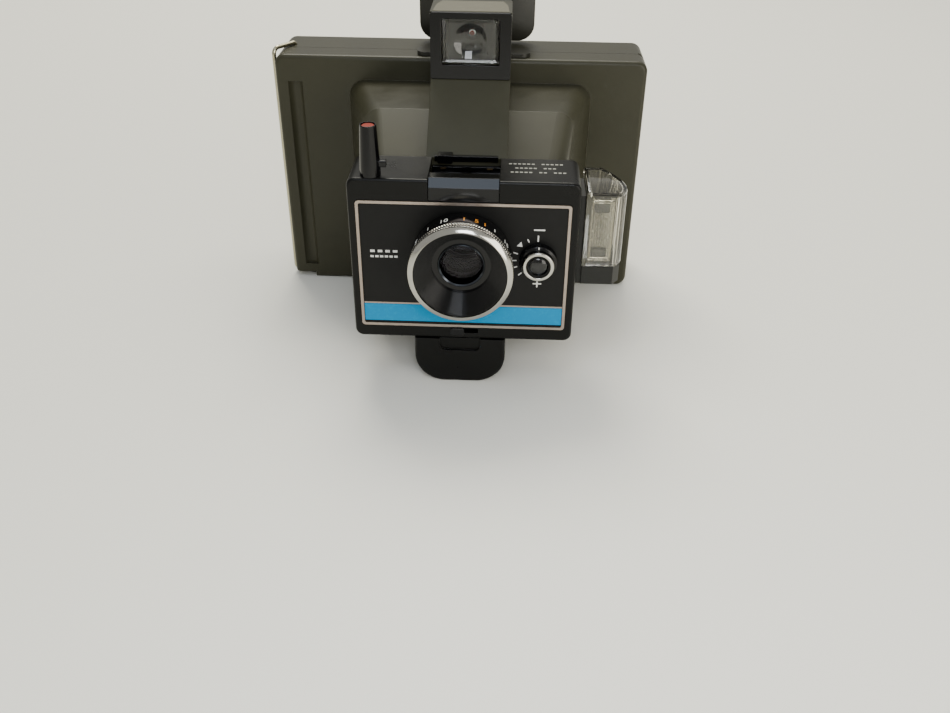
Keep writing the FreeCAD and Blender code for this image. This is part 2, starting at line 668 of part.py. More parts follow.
def latch_bail():
    """Wire bail in one plane: pivot end, arm, long bar, arm, pivot end."""
    wire = d.bail_wire / 2
    low = d.bail_notch / 2
    high = d.back_height + wire + 0.1
    across = bail_bar_x - d.bail_pivot_x
    along = d.bail_pivot_back + d.bail_bar_forward
    reach = hypotenuse(across, along)
    tight = wire + 0.1
    top_end = d.back_height - d.wall - 0.6
    low_end = d.bail_notch + d.wall
    lean = FreeCAD.Rotation(FreeCAD.Vector(0, 0, 1), 50)
    body = new_body("latch_bail", -d.bail_pivot_x, d.bail_pivot_back, 0, lean)
    body.setExpression("Placement.Rotation.Angle", f"atan({along.formula} / {across.formula})")
    path = new_sketch(body, "front")
    bends = [(-tight, high - tight, tight, 0), (-reach + d.bail_bend, high - d.bail_bend, d.bail_bend, 1),
             (-reach + d.bail_bend, low + d.bail_bend, d.bail_bend, 2), (-tight, low + tight, tight, 3)]
    here = point_at(0, top_end)
    for x, y, radius, turn in bends:
        start, end = turn * math.pi / 2, (turn + 1) * math.pi / 2
        centre = point_at(x, y)
        ring = Part.Circle(centre, FreeCAD.Vector(0, 0, 1), radius.number)
        path.addGeometry(Part.LineSegment(here, ring.value(start)))
        path.addGeometry(Part.ArcOfCircle(ring, start, end))
        here = ring.value(end)
    path.addGeometry(Part.LineSegment(here, point_at(0, low_end)))
    for i, (x, y, radius, turn) in enumerate(bends):
        path.addConstraint(Sketcher.Constraint("Tangent", 2 * i, 2, 2 * i + 1, 1))
        path.addConstraint(Sketcher.Constraint("Tangent", 2 * i + 1, 2, 2 * i + 2, 1))
        pin_point(path, 2 * i + 1, 3, x, y)
        constrain(path, "Radius", (2 * i + 1,), radius)
    pin_point(path, 0, 1, 0, top_end)
    pin_point(path, 8, 2, 0, low_end)
    section = new_sketch(body, "top", top_end)
    circle(section, 0, 0, wire)
    doc.recompute()
    pipe = body.newObject("PartDesign::AdditivePipe", "pipe")
    pipe.Profile = section
    pipe.Spine = path
    return body


# ---- rollers --------------------------------------------------------------------------------------

ear_low = d.roller_low - d.gap - d.ear_thick


def roller_frame():
    """Steel bracket with an ear at each end of the rollers and a strip that joins the ears."""
    body = new_body("roller_frame")
    reach = d.roller_radius * 2 + d.roller_nip
    left, right = -d.roller_x - 5.4, -d.roller_x + 6.2
    near, far = d.roller_back - reach, d.roller_back + reach
    for low in (ear_low, d.back_height - ear_low - d.ear_thick):
        ear = new_sketch(body, "top", low)
        polygon(ear, [(left, near), (right, near), (right, far), (left, far)])
        for side in (-1, 1):
            circle(ear, -d.roller_x, d.roller_back + side * (d.roller_radius + d.roller_nip / 2),
                   d.axle_radius + d.running)
        pad(body, ear, d.ear_thick)
    for near_edge in (near, far - d.ear_thick):
        strip = new_sketch(body, "top", ear_low)
        polygon(strip, [(right - d.ear_thick, near_edge), (right, near_edge),
                        (right, near_edge + d.ear_thick), (right - d.ear_thick, near_edge + d.ear_thick)])
        pad(body, strip, d.back_height - 2 * ear_low)
    return body


def roller(label, side):
    """Spreader roller with an axle at each end; side is -1 for the one nearer the film plane."""
    long = d.back_height - 2 * d.roller_low
    ends = d.gap + d.ear_thick
    return turned(label, [(0, -ends), (d.axle_radius, -ends), (d.axle_radius, 0),
                          (d.roller_radius, 0), (d.roller_radius, long), (d.axle_radius, long),
                          (d.axle_radius, long + ends), (0, long + ends)],
                  -d.roller_x, d.roller_back + side * (d.roller_radius + d.roller_nip / 2), d.roller_low)


# ---- front cover ----------------------------------------------------------------------------------

recess = d.panel_thick + d.stripe_thick
boss_places = [(x, z) for x in (-d.cover_left + d.cover_wall + d.boss_inset,
                                d.cover_right - d.cover_wall - d.boss_inset)
               for z in (d.cover_low + d.cover_wall + d.boss_inset,
                         d.cover_high - d.cover_wall - d.boss_inset)]
slot_half = as_size(1.2)


def front_cover():
    """Box around the shutter, open at the rear, with the panel's recess and the holes of its controls."""
    body = new_body("front_cover")
    outside = new_sketch(body, "front", d.cover_rear)
    rounded_box(outside, -d.cover_left, d.cover_right, d.cover_low, d.cover_high, d.cover_corner)
    pad(body, outside, d.cover_front - d.cover_rear)
    round_edges(body, d.cover_rounding, on_plane("Y", -d.cover_front))
    inside = new_sketch(body, "front", d.cover_rear)
    rounded_box(inside, -d.cover_left + d.cover_wall, d.cover_right - d.cover_wall,
                d.cover_low + d.cover_wall,
                d.cover_high - d.cover_wall, d.cover_corner - d.cover_wall)
    cut(body, inside, d.cover_front - d.cover_rear - d.cover_wall - recess)
    bosses = new_sketch(body, "front", d.cover_rear + d.plate_thick + 0.1)
    for x, z in boss_places:
        circle(bosses, x, z, d.boss_radius)
    pad(body, bosses, d.cover_front - d.cover_rear - d.cover_wall - recess - d.plate_thick)
    threads = new_sketch(body, "front", d.cover_rear)
    for x, z in boss_places:
        circle(threads, x, z, d.screw_radius)
    cut(body, threads, d.screw_length + 1)
    face = new_sketch(body, "front", d.cover_front)
    rounded_box(face, -d.frame_left, d.frame_right, d.frame_low, d.frame_high, d.frame_corner)
    cut(body, face, recess, reverse=True)
    openings = new_sketch(body, "front", d.cover_front)
    circle(openings, 0, d.lens_height, d.barrel_radius + d.gap)
    circle(openings, d.dial_x, d.dial_height, d.tube_radius + d.gap)
    slot_left, slot_right = d.selector_x - 2, d.selector_x + d.selector_travel + 2
    polygon(openings,
            [(slot_left, d.selector_height - slot_half), (slot_right, d.selector_height - slot_half),
                       (slot_right, d.selector_height + slot_half),
                       (slot_left, d.selector_height + slot_half)])
    cut(body, openings, d.cover_wall + recess + 1, reverse=True)
    socket = new_sketch(body, "front", d.cover_rear)
    polygon(socket, [(-d.socket_left, d.socket_floor), (d.socket_right, d.socket_floor),
                     (d.socket_right, d.cover_high + 1), (-d.socket_left, d.cover_high + 1)])
    cut(body, socket, d.cover_front - d.cover_rear + 1)
    post = new_sketch(body, "top", d.cover_high + 1)
    circle(post, -d.post_x, -d.post_forward, d.stem_radius + d.gap)
    cut(body, post, d.cover_wall + 2, reverse=True)
    return body


def panel_hole(sketch):
    """Holes that the front panel shares with the cover."""
    circle(sketch, 0, d.lens_height, d.barrel_radius + d.gap)
    circle(sketch, d.dial_x, d.dial_height, d.tube_radius + d.gap)


def front_panel():
    """Black panel that lies in the recess of the front cover."""
    body = new_body("front_panel")
    sketch = new_sketch(body, "front", d.cover_front - recess)
    fit = 0.1
    rounded_box(sketch, -d.frame_left + fit, d.frame_right - fit, d.frame_low + fit, d.frame_high - fit,
                d.frame_corner - fit)
    panel_hole(sketch)
    pad(body, sketch, d.panel_thick)
    return body


def panel_frame():
    """Bright frame around the panel, with the thin rule above the stripe."""
    body = new_body("panel_frame")
    fit = 0.1
    line = d.frame_line
    sketch = new_sketch(body, "front", d.cover_front - d.stripe_thick)
    rounded_box(sketch, -d.frame_left + fit, d.frame_right - fit, d.frame_low + fit, d.frame_high - fit,
                d.frame_corner - fit)
    rounded_box(sketch, -d.frame_left + line, d.frame_right - line, d.frame_low + line, d.frame_high - line,
                d.frame_corner / 2)
    pad(body, sketch, d.stripe_thick + d.frame_proud)
    return body


def panel_stripe():
    """Coloured stripe across the foot of the panel."""
    body = new_body("panel_stripe")
    sketch = new_sketch(body, "front", d.cover_front - d.stripe_thick)
    side = d.frame_line + 0.2
    polygon(sketch, [(-d.frame_left + side, d.stripe_low), (d.frame_right - side, d.stripe_low),
                     (d.frame_right - side, d.stripe_high), (-d.frame_left + side, d.stripe_high)])
    pad(body, sketch, d.stripe_thick)
    return body


def shutter_plate():
    """Steel plate that closes the cone and carries the shutter; the front cover is screwed to it."""
    body = new_body("shutter_plate")
    sketch = new_sketch(body, "front", d.cover_rear)
    fit = d.cover_wall + 0.15
    rounded_box(sketch, -d.cover_left + fit, d.cover_right - fit, d.cover_low + fit, d.cover_high - fit,
                d.cover_corner - d.cover_wall)
    circle(sketch, 0, d.lens_height, stop - 1)
    for x, z in boss_places:
        circle(sketch, x, z, d.screw_radius + 0.1)
    pad(body, sketch, d.plate_thick)
    corners = new_sketch(body, "front", d.cover_rear)
    polygon(corners, [(-d.socket_left - 1, d.turret_low - 0.5), (d.socket_right + 1, d.turret_low - 0.5),
                      (d.socket_right + 1, d.cover_high), (-d.socket_left - 1, d.cover_high)])
    cut(body, corners, d.plate_thick)
    posts = new_sketch(body, "front", d.cover_rear + d.plate_thick)
    for x, z in blade_pivots:
        circle(posts, x, z, blade_post)
    circle(posts, lever_x, lever_z, blade_post)
    pad(body, posts, 3.4)
    return body


def screws(label, places, radius, length, head, head_thick, seat):
    """Group of equal screws that point forward, their heads behind the seat."""
    body = new_body(label)
    shanks = new_sketch(body, "front", seat)
    for x, z in places:
        circle(shanks, x, z, radius)
    pad(body, shanks, length)
    heads = new_sketch(body, "front", seat)
    for x, z in places:
        circle(heads, x, z, head)
    pad(body, heads, head_thick, reverse=True)
    return body


# ---- lens -----------------------------------------------------------------------------------------

def on_lens_axis(label, points):
    """Piece turned about the lens axis from (radius, forward distance) points."""
    return turned(label, points, 0, 0, d.lens_height, FORWARD)


glass = d.glass_radius
seat = d.glass_radius + d.running
stop = d.glass_radius - d.seat_width
flange_front = d.cover_front - recess - d.cover_wall


def lens_barrel():
    return on_lens_axis("lens_barrel", [
        (seat, d.barrel_rear), (d.barrel_radius, d.barrel_rear),
        (d.barrel_radius, flange_front - d.flange_thick),
        (d.flange_radius, flange_front - d.flange_thick), (d.flange_radius, flange_front),
        (d.barrel_radius, flange_front), (d.barrel_radius, barrel_front), (d.barrel_bore, barrel_front),
        (d.barrel_bore, sleeve_rear - 3), (seat, sleeve_rear - 3), (seat, d.barrel_rear + 6),
        (stop, d.barrel_rear + 6), (stop, d.barrel_rear + 4), (seat, d.barrel_rear + 4)])


def focus_collar():
    """Black collar with the ridged funnel, turned together with the grip on a sleeve inside the barrel."""
    sleeve = d.barrel_bore - d.running
    return on_lens_axis("focus_collar", [
        (d.collar_radius, collar_rear), (d.collar_radius, grip_rear),
        (d.grip_radius - d.grip_wall, grip_rear),
        (d.grip_radius - d.grip_wall, grip_front - 0.9), (d.rim_radius, grip_front - 0.9),
        (d.throat_radius, throat_forward), (seat, throat_forward), (seat, throat_forward - 4.6),
        (stop, throat_forward - 4.6), (stop, sleeve_rear), (sleeve, sleeve_rear),
        (sleeve, barrel_front + d.gap), (d.barrel_radius + 1, barrel_front + d.gap),
        (d.collar_radius - 1.8, grip_rear - 1.4), (d.collar_radius - 1.8, collar_rear)])


def grip_ring():
    """Bright knurled band around the collar."""
    inner = d.grip_radius - d.grip_wall
    return on_lens_axis("grip_ring", [
        (inner + 0.02, grip_rear), (d.grip_radius, grip_rear), (d.grip_radius, grip_front - 0.5),
        (d.grip_radius - 0.5, grip_front), (d.rim_radius + 0.3, grip_front),
        (d.rim_radius, grip_front - 0.88), (inner + 0.02, grip_front - 0.88)])


def ring(label, outer, inner, rear, front):
    """Flat ring on the lens axis."""
    return on_lens_axis(label, [(inner, rear), (outer, rear), (outer, front), (inner, front)])


def lens_element(label, rear, front, bulge):
    """Glass disc between two faces; a positive bulge rounds both faces outward, a negative one inward."""
    thick = front - rear
    blank = rod(label + "_blank", glass, thick, 0, -rear, d.lens_height, FORWARD)
    rise = abs(bulge)
    curve = (glass * glass + rise * rise) / (2 * rise)
    balls = []
    for name, end in (("_rear", 0), ("_front", 1)):
        ball = doc.addObject("Part::Sphere", label + name)
        bind(ball, "Radius", curve)
        face = rear + end * thick
        inward = (1 - 2 * end) * curve
        centre = face + inward if bulge > 0 else face - inward + (1 - 2 * end) * rise
        place(ball, 0, -centre, d.lens_height)
        balls.append(ball)
    if bulge > 0:
        result = doc.addObject("Part::MultiCommon", label)
        result.Shapes = [blank] + balls
    else:
        result = subtract(label, blank, fuse(label + "_hollows", balls))
    return keep(result, label)


# ---- shutter --------------------------------------------------------------------------------------

blade_post = as_size(1.2)
blade_pivots = [(as_size(-20), d.lens_height - 10), (as_size(20), d.lens_height - 14)]
lever_x = -d.post_x + 12
lever_z = d.stem_low - d.release_travel


def blade(label, pivot, layer, side):
    """Thin shutter blade that swings on its post; at rest it covers the opening."""
    x, z = pivot
    body = new_body(label, x, -(d.cover_rear + d.plate_thick), z)
    sketch = new_sketch(body, "front", layer)
    reach = -x
    drop = d.lens_height - z
    polygon(sketch, [(-3.0 * side, -3.2), (3.0 * side, -3.2),
                     (reach + side * 8.4, drop - 8.6), (reach + side * 8.8, drop + 8.2),
                     (reach - side * 8.2, drop + 8.8), (-3.0 * side, 3.2)])
    circle(sketch, 0, 0, blade_post + d.running)
    pad(body, sketch, 0.3)
    return body


def release_lever():
    """Lever that the button's stem presses, on its own post of the shutter plate."""
    body = new_body("release_lever", lever_x, -(d.cover_rear + d.plate_thick), lever_z)
    sketch = new_sketch(body, "front", 1.9)
    arm = -d.post_x - lever_x
    polygon(sketch, [(arm - 2, d.stem_low - lever_z - 1.7), (arm + 2, d.stem_low - lever_z - 1.7),
                     (0, 2.6), (7.5, -0.5), (7.5, -2.5),
                     (0, -2.6), (arm - 2, d.stem_low - lever_z - 3.4)])
    circle(sketch, 0, 0, blade_post + d.running)
    pad(body, sketch, 0.9)
    tab = new_sketch(body, "front", 1.9)
    polygon(tab, [(arm - 2, d.stem_low - lever_z - 1.7), (arm + 2, d.stem_low - lever_z - 1.7),
                  (arm + 2, d.stem_low - lever_z - 0.3), (arm - 2, d.stem_low - lever_z - 0.3)])
    pad(body, tab, d.post_forward - d.cover_rear - d.plate_thick - 1.9 + 0.6)
    return body


def circuit_board():
    """Timing circuit in the lower right of the cover: board with its chip and a capacitor."""
    right = d.cover_right - d.cover_wall - 3
    body = new_body("circuit_board", right, -(d.cover_rear + 7.5), d.cover_low + 9.4)
    board = new_sketch(body, "front", 0)
    rounded_box(board, -d.board_wide, 0, 0, d.board_tall, 1)
    pad(body, board, d.board_thick)
    parts = new_sketch(body, "front", d.board_thick)
    rounded_box(parts, -d.board_wide + 2.5, -d.board_wide + 11.5, 2.4, d.board_tall - 3, 0.5)
    circle(parts, -6, d.board_tall / 2 + 0.2, 3.4)
    pad(body, parts, 5)
    return body


def shutter_magnet():
    """Electromagnet that holds the closing blade: iron core with its coil."""
    body = new_body("shutter_magnet", -d.cover_left + 17.4, -(d.cover_rear + 3.5), d.cover_low + 6.8)
    core = new_sketch(body, "top", 0)
    circle(core, 0, -4.5, 1.6)
    pad(body, core, 16)
    coil = new_sketch(body, "top", 2)
    circle(coil, 0, -4.5, 4.2)
    pad(body, coil, 12)
    return body


# ---- light cell and exposure dial -----------------------------------------------------------------

def on_dial_axis(label, points):
    return turned(label, points, d.dial_x, 0, d.dial_height, FORWARD)


def cell_tube():
    tube_rear = flange_front - 9
    return on_dial_axis("cell_tube", [
        (d.cell_radius + d.running, tube_rear), (d.tube_radius + 1.6, tube_rear),
        (d.tube_radius + 1.6, flange_front), (d.tube_radius, flange_front),
        (d.tube_radius, dial_front - 0.6),
        (d.cell_radius + d.running, dial_front - 0.6)])


def cell_window():
    rear = dial_front - 3.4
    return on_dial_axis("cell_window", [
        (0, rear), (d.cell_radius, rear), (d.cell_radius, dial_front - 0.9),
        (d.cell_radius * 0.8, dial_front - 0.35), (d.cell_radius * 0.45, dial_front - 0.05),
        (0, dial_front)])


def photocell():
    rear = flange_front - 9
    return on_dial_axis("photocell", [(0, rear), (d.cell_radius, rear), (d.cell_radius, rear + 3.0),
                                      (0, rear + 3.0)])


def exposure_dial():
    inner = d.tube_radius + d.running
    rear = d.cover_front - d.stripe_thick + d.gap
    return on_dial_axis("exposure_dial", [
        (inner, rear), (d.skirt_radius, rear), (d.skirt_radius, skirt_front - 0.8),
        (d.dial_radius, skirt_front), (d.dial_radius, dial_front - 0.8), (inner, dial_front - 0.8)])


def dial_trim():
    return on_dial_axis("dial_trim", [
        (d.tube_radius + 0.2, dial_front - 0.8), (d.dial_radius, dial_front - 0.8),
        (d.dial_radius, dial_front - 0.3), (d.dial_radius - 0.4, dial_front),
        (d.tube_radius + 0.2, dial_front)])


# ---- release --------------------------------------------------------------------------------------

button_top = d.post_top - d.button_sunk


def release_tower():
    """Post on top of the cover that guides the release button, with a small stop nub."""
    bore = d.button_radius + d.running
    shelf = d.cover_high + 3
    body = turned("release_tower", [
        (d.stem_radius + d.running, d.cover_high), (d.post_base_radius, d.cover_high),
        (d.post_base_radius - 0.1, d.cover_high + 4), (d.post_top_radius, d.post_top - 0.2),
        (d.post_top_radius - 0.2, d.post_top), (bore, d.post_top), (bore, shelf),
        (d.stem_radius + d.running, shelf)], -d.post_x, -d.post_forward, 0)
    nub = new_sketch(body, "side", 0 + d.post_top_radius - 0.4)
    rounded_box(nub, -1.4, 1.4, d.cover_high + 3.6, d.cover_high + 6.4, 0.6)
    pad(body, nub, 3.6)
    return body


def release_button():
    """Red-topped button with its stem."""
    rim = d.button_radius
    low = button_top - d.button_length
    return turned("release_button", [
        (0, d.stem_low), (d.stem_radius, d.stem_low), (d.stem_radius, low), (rim, low),
        (rim, button_top - 0.5), (rim - 0.5, button_top), (0, button_top)],
        -d.post_x, -d.post_forward, 0)


def release_spring():
    """Coil spring under the button's head."""
    body = new_body("release_spring", -d.post_x, -d.post_forward, d.cover_high + 3 + 0.35)
    sketch = new_sketch(body, "front")
    circle(sketch, d.stem_radius + 0.55, 0, 0.28)
    coil = body.newObject("PartDesign::AdditiveHelix", "coil")
    coil.Profile = sketch
    coil.ReferenceAxis = (sketch, ["V_Axis"])
    coil.Mode = "height-turns-growth"
    coil.Turns = 5
    bind(coil, "Height", button_top - d.button_length - d.cover_high - 3 - 0.7)
    return body


def film_selector():
    """Slide under the lens that sets the film speed: foot behind the wall, stem, and tab in front."""
    body = new_body("film_selector", d.selector_x, 0, d.selector_height)
    rear = flange_front - 0.2
    foot = new_sketch(body, "front", rear - 0.8)
    rounded_box(foot, -2.4, 2.4, -slot_half - 0.3, slot_half + 1.6, 0.4)
    pad(body, foot, 0.8)
    stem = new_sketch(body, "front", rear - 0.4)
    rounded_box(stem, -1.6, 1.6, -slot_half + 0.2, slot_half - 0.2, 0.3)
    pad(body, stem, d.cover_front + 0.3 - rear + 0.4)
    tab = new_sketch(body, "front", d.cover_front + 0.2)
    rounded_box(tab, -3, 3, -slot_half - 0.4, slot_half + 0.4, 0.7)
    pad(body, tab, 1.3)
    return body


# ---- flash ----------------------------------------------------------------------------------------

socket_mid = (d.socket_right - d.socket_left) / 2


def flash_socket():
    """Glossy block in the cover's top with a bevelled front ledge and the turret's well."""
    body = new_body("flash_socket")
    left, right = -d.socket_left + 0.15, d.socket_right - 0.15
    profile = new_sketch(body, "side", left)
    floor = d.socket_floor + 0.1
    polygon(profile,
            [(-d.cover_rear, floor), (-d.cover_front + 0.6, floor),
             (-d.cover_front + 0.6, d.ledge_high - d.ledge_bevel),
             (-d.cover_front + 0.6 + d.ledge_bevel, d.ledge_high), (-d.ledge_rear, d.ledge_high),
             (-d.ledge_rear + 1.2, d.turret_high + 0.3), (-d.cover_rear - 2.2, d.turret_high + 0.3),
             (-d.cover_rear - 2.2, d.cover_high - 3.4), (-d.cover_rear, d.cover_high - 3.4)])
    pad(body, profile, right - left)
    well = new_sketch(body, "top", floor)
    circle(well, socket_mid, -d.turret_forward, d.turret_radius + 2.4)
    pad(body, well, floor - d.turret_low, reverse=True)
    bore = new_sketch(body, "top", d.turret_low - 1)
    circle(bore, socket_mid, -d.turret_forward, d.turret_radius + d.running)
    cut(body, bore, d.turret_high - d.turret_low + 4)
    return body


def flash_turret():
    """Turret that turns the flashcube; the cube's stem goes into its bore."""
    body = new_body("flash_turret", socket_mid, -d.turret_forward, 0)
    outside = new_sketch(body, "top", d.turret_low)
    circle(outside, 0, 0, d.turret_radius)
    pad(body, outside, d.turret_high - d.turret_low)
    hole = new_sketch(body, "top", d.turret_high)
    circle(hole, 0, 0, d.stem_bore)
    cut(body, hole, d.turret_high - d.turret_low - 1.5, reverse=True)
    return body


def flash_contacts():
    """Two spring contacts beside the turret."""
    body = new_body("flash_contacts")
    for side in (-1, 1):
        leaf = new_sketch(body, "top", d.turret_high + 0.35)
        x = socket_mid + side * (d.turret_radius + 3.4)
        polygon(leaf, [(x - 1.2, -d.turret_forward - 3.5), (x + 1.2, -d.turret_forward - 3.5),
                       (x + 1.2, -d.turret_forward + 3.5), (x - 1.2, -d.turret_forward + 3.5)])
        pad(body, leaf, 0.5)
        doc.recompute()
    return body


def eject_lever():
    """Bar behind the flashcube, with a thumb tab at its left end."""
    body = new_body("eject_lever")
    low = d.cover_high - 3.4 + d.eject_travel + 0.3
    bar = new_sketch(body, "front", d.cover_rear + 0.2)
    polygon(bar,
            [(-d.socket_left + 1.2, low), (d.socket_right - 1.2, low), (d.socket_right - 1.2, low + 2.4),
                  (-d.socket_left + 1.2, low + 2.4)])
    pad(body, bar, 2)
    tab = new_sketch(body, "front", d.cover_rear + 0.2)
    rounded_box(tab, -d.socket_left + 2.6, -d.socket_left + 9.0, low, low + 3.6, 0.8)
    pad(body, tab, 4.6)
    return body


def shield_outline(sketch, inset):
    """Plan of the flash shield: flat front, outer side swept back to a narrow rear."""
    left, right = d.shield_left + inset, d.shield_right - inset
    front, rear = d.shield_front - inset, d.shield_rear + inset
    polygon(sketch, [(left, -front), (right - 3, -front), (right, -front + 4), (right + 0.6, -front + 10),
                     (right - 1.2, -front + 17), (right - 4.5, -front + 23), (right - 8.5, -rear),
                     (left, -rear)])


def flash_shield():
    """Clear fluted shield, closed at the top, that slides up off its holder."""
    body = new_body("flash_shield")
    outside = new_sketch(body, "top", d.shield_low)
    shield_outline(outside, 0)
    pad(body, outside, d.shield_high - d.shield_low)
    inside = new_sketch(body, "top", d.shield_low)
    shield_outline(inside, d.shield_wall)
    cut(body, inside, d.shield_high - d.shield_low - d.shield_wall)
    return body


def flash_holder():
    """Bracket on the side of the cover that the shield stands on."""
    body = new_body("flash_holder")
    base = new_sketch(body, "top", d.holder_low)
    shield_outline(base, 0)
    pad(body, base, d.shield_low - d.gap - d.holder_low)
    spine = new_sketch(body, "top", d.holder_low)
    polygon(spine, [(d.cover_right, -d.shield_front + 1), (d.shield_left - d.gap, -d.shield_front + 1),
                    (d.shield_left - d.gap, -d.cover_rear + 1), (d.cover_right, -d.cover_rear + 1)])
    pad(body, spine, d.shield_high - d.holder_low - 1.5)
    foot = new_sketch(body, "top", d.holder_low)
    polygon(foot, [(d.cover_right, -d.shield_front + 1), (d.shield_left + 1, -d.shield_front + 1),
                   (d.shield_left + 1, -d.cover_rear + 1), (d.cover_right, -d.cover_rear + 1)])
    pad(body, foot, d.shield_low - d.gap - d.holder_low)
    return body


def flash_reflector():
    """Bright panel that stands on the holder inside the shield."""
    body = new_body("flash_reflector")
    inset = d.shield_wall + 0.8
    panel = new_sketch(body, "front", d.shield_front - d.shield_wall - 4.5)
    rounded_box(panel, d.shield_left + inset, d.shield_right - inset - 1, d.shield_low - d.gap,
                d.shield_high - d.shield_wall - 1.5, 0.5)
    pad(body, panel, 1.4)
    return body


# ---- finder ---------------------------------------------------------------------------------------

saddle_top = d.back_height + 0.05 + d.saddle_thick


def viewfinder_housing():
    """Column on the cone that carries the finder tube back to the eyepiece."""
    body = new_body("viewfinder_housing", d.finder_x, 0, 0)
    outline = new_sketch(body, "side", -d.finder_half)
    polygon(outline, [
        (-d.cover_rear + 0.2, d.neck_high + 0.5), (-d.cover_rear + 0.2, d.cover_high - 0.2),
        (-d.finder_front - 1.2, finder_low), (-d.finder_front, finder_low), (-d.finder_front, finder_high),
        (-d.finder_flat, finder_high), (d.finder_back, eye_high), (d.finder_back, saddle_top + 0.1),
        (-d.back_forward - 0.2, saddle_top + 0.1), (-d.back_forward - 0.2, d.cone_high + 0.1),
        (-d.shoulder_forward, d.cone_high + 0.1)])
    pad(body, outline, 2 * d.finder_half)
    cheeks = new_sketch(body, "top", saddle_top)
    for side in (-1, 1):
        polygon(cheeks,
                [(side * (d.finder_half + 1), -d.finder_flat), (side * d.finder_half, -d.finder_flat),
                         (side * d.eye_half, d.finder_back + 1),
                         (side * (d.finder_half + 1), d.finder_back + 1)])
    cut(body, cheeks, finder_high - saddle_top)
    mouth = new_sketch(body, "front", d.finder_front)
    polygon(mouth, [(-d.window_half, window_low), (d.window_half, window_low), (d.window_half, window_high),
                    (-d.window_half, window_high)])
    throat = new_sketch(body, "front", -d.finder_back)
    eye = d.eye_radius + d.running
    polygon(throat, [(-eye, eye_height - eye), (eye, eye_height - eye), (eye, eye_height + eye),
                     (-eye, eye_height + eye)])
    loft(body, "SubtractiveLoft", [mouth, throat])
    hollow = new_sketch(body, "side", -d.finder_half + d.wall)
    polygon(hollow, [(-d.cover_rear + 3, d.neck_high - 4), (-d.cover_rear + 3, d.cover_high - 4),
                     (-d.finder_front - 1, finder_low - 3.4), (-d.back_forward - 3, finder_low - 3.4),
                     (-d.back_forward - 3, d.cone_high - 4)])
    cut(body, hollow, 2 * (d.finder_half - d.wall))
    return body


def finder_mask():
    """Glossy frame around the finder window."""
    body = new_body("finder_mask", d.finder_x, 0, 0)
    sketch = new_sketch(body, "front", d.finder_front)
    rounded_box(sketch, -d.finder_half, d.finder_half, finder_low + 0.2, finder_high, 1.2)
    rounded_box(sketch, -d.window_half + 0.4, d.window_half - 0.4, window_low + 0.4, window_high - 0.4, 1)
    pad(body, sketch, d.mask_thick)
    return body


def finder_front_lens():
    """Plano-concave window lens of the finder."""
    blank = box("finder_lens_blank", 2 * d.window_half - 1.6, 3, window_high - window_low - 1.6,
                d.finder_x - d.window_half + 0.8, -d.finder_front + 0.3, window_low + 0.8)
    ball = doc.addObject("Part::Sphere", "finder_lens_hollow")
    bind(ball, "Radius", 3 * d.window_half)
    place(ball, d.finder_x, -d.finder_front + 1.5 + 3 * d.window_half, (window_low + window_high) / 2)
    return keep(subtract("finder_front_lens", blank, ball), "finder_front_lens")


def finder_eye_lens():
    return turned("finder_eye_lens", [(0, 0), (d.eye_radius, 0.6),
                                      (d.eye_radius, 2), (0, 2.6)],
                  d.finder_x, d.finder_back - 0.4, eye_height, FORWARD)


def eyecup():
    """Broad soft plate behind the finder with the eye opening."""
    body = new_body("eyecup", d.finder_x, 0, 0)
    sketch = new_sketch(body, "front", -d.finder_back)
    rounded_box(sketch, -d.cup_half, d.cup_half, cup_low, cup_high, d.cup_corner)
    circle(sketch, 0, eye_height, d.eye_radius + 1.4)
    pad(body, sketch, d.cup_thick, reverse=True)
    round_edges(body, 1.2, on_plane("Y", d.finder_back + d.cup_thick))
    return body


def finder_saddle():
    """Low pad between the finder and the top of the film back."""
    body = new_body("finder_saddle")
    sketch = new_sketch(body, "top", d.back_height + 0.05)
    rounded_box(sketch, -d.saddle_half, d.saddle_half, -6.4, d.rim_back - 0.8, 4)
    pad(body, sketch, d.saddle_thick)
    return body


# ---- battery bay ----------------------------------------------------------------------------------

cell_rear = d.bay_pivot_forward + 2.9
ear_half = as_size(1.6)
ear_x = d.bay_half - d.bay_wall - d.gap - 2.4


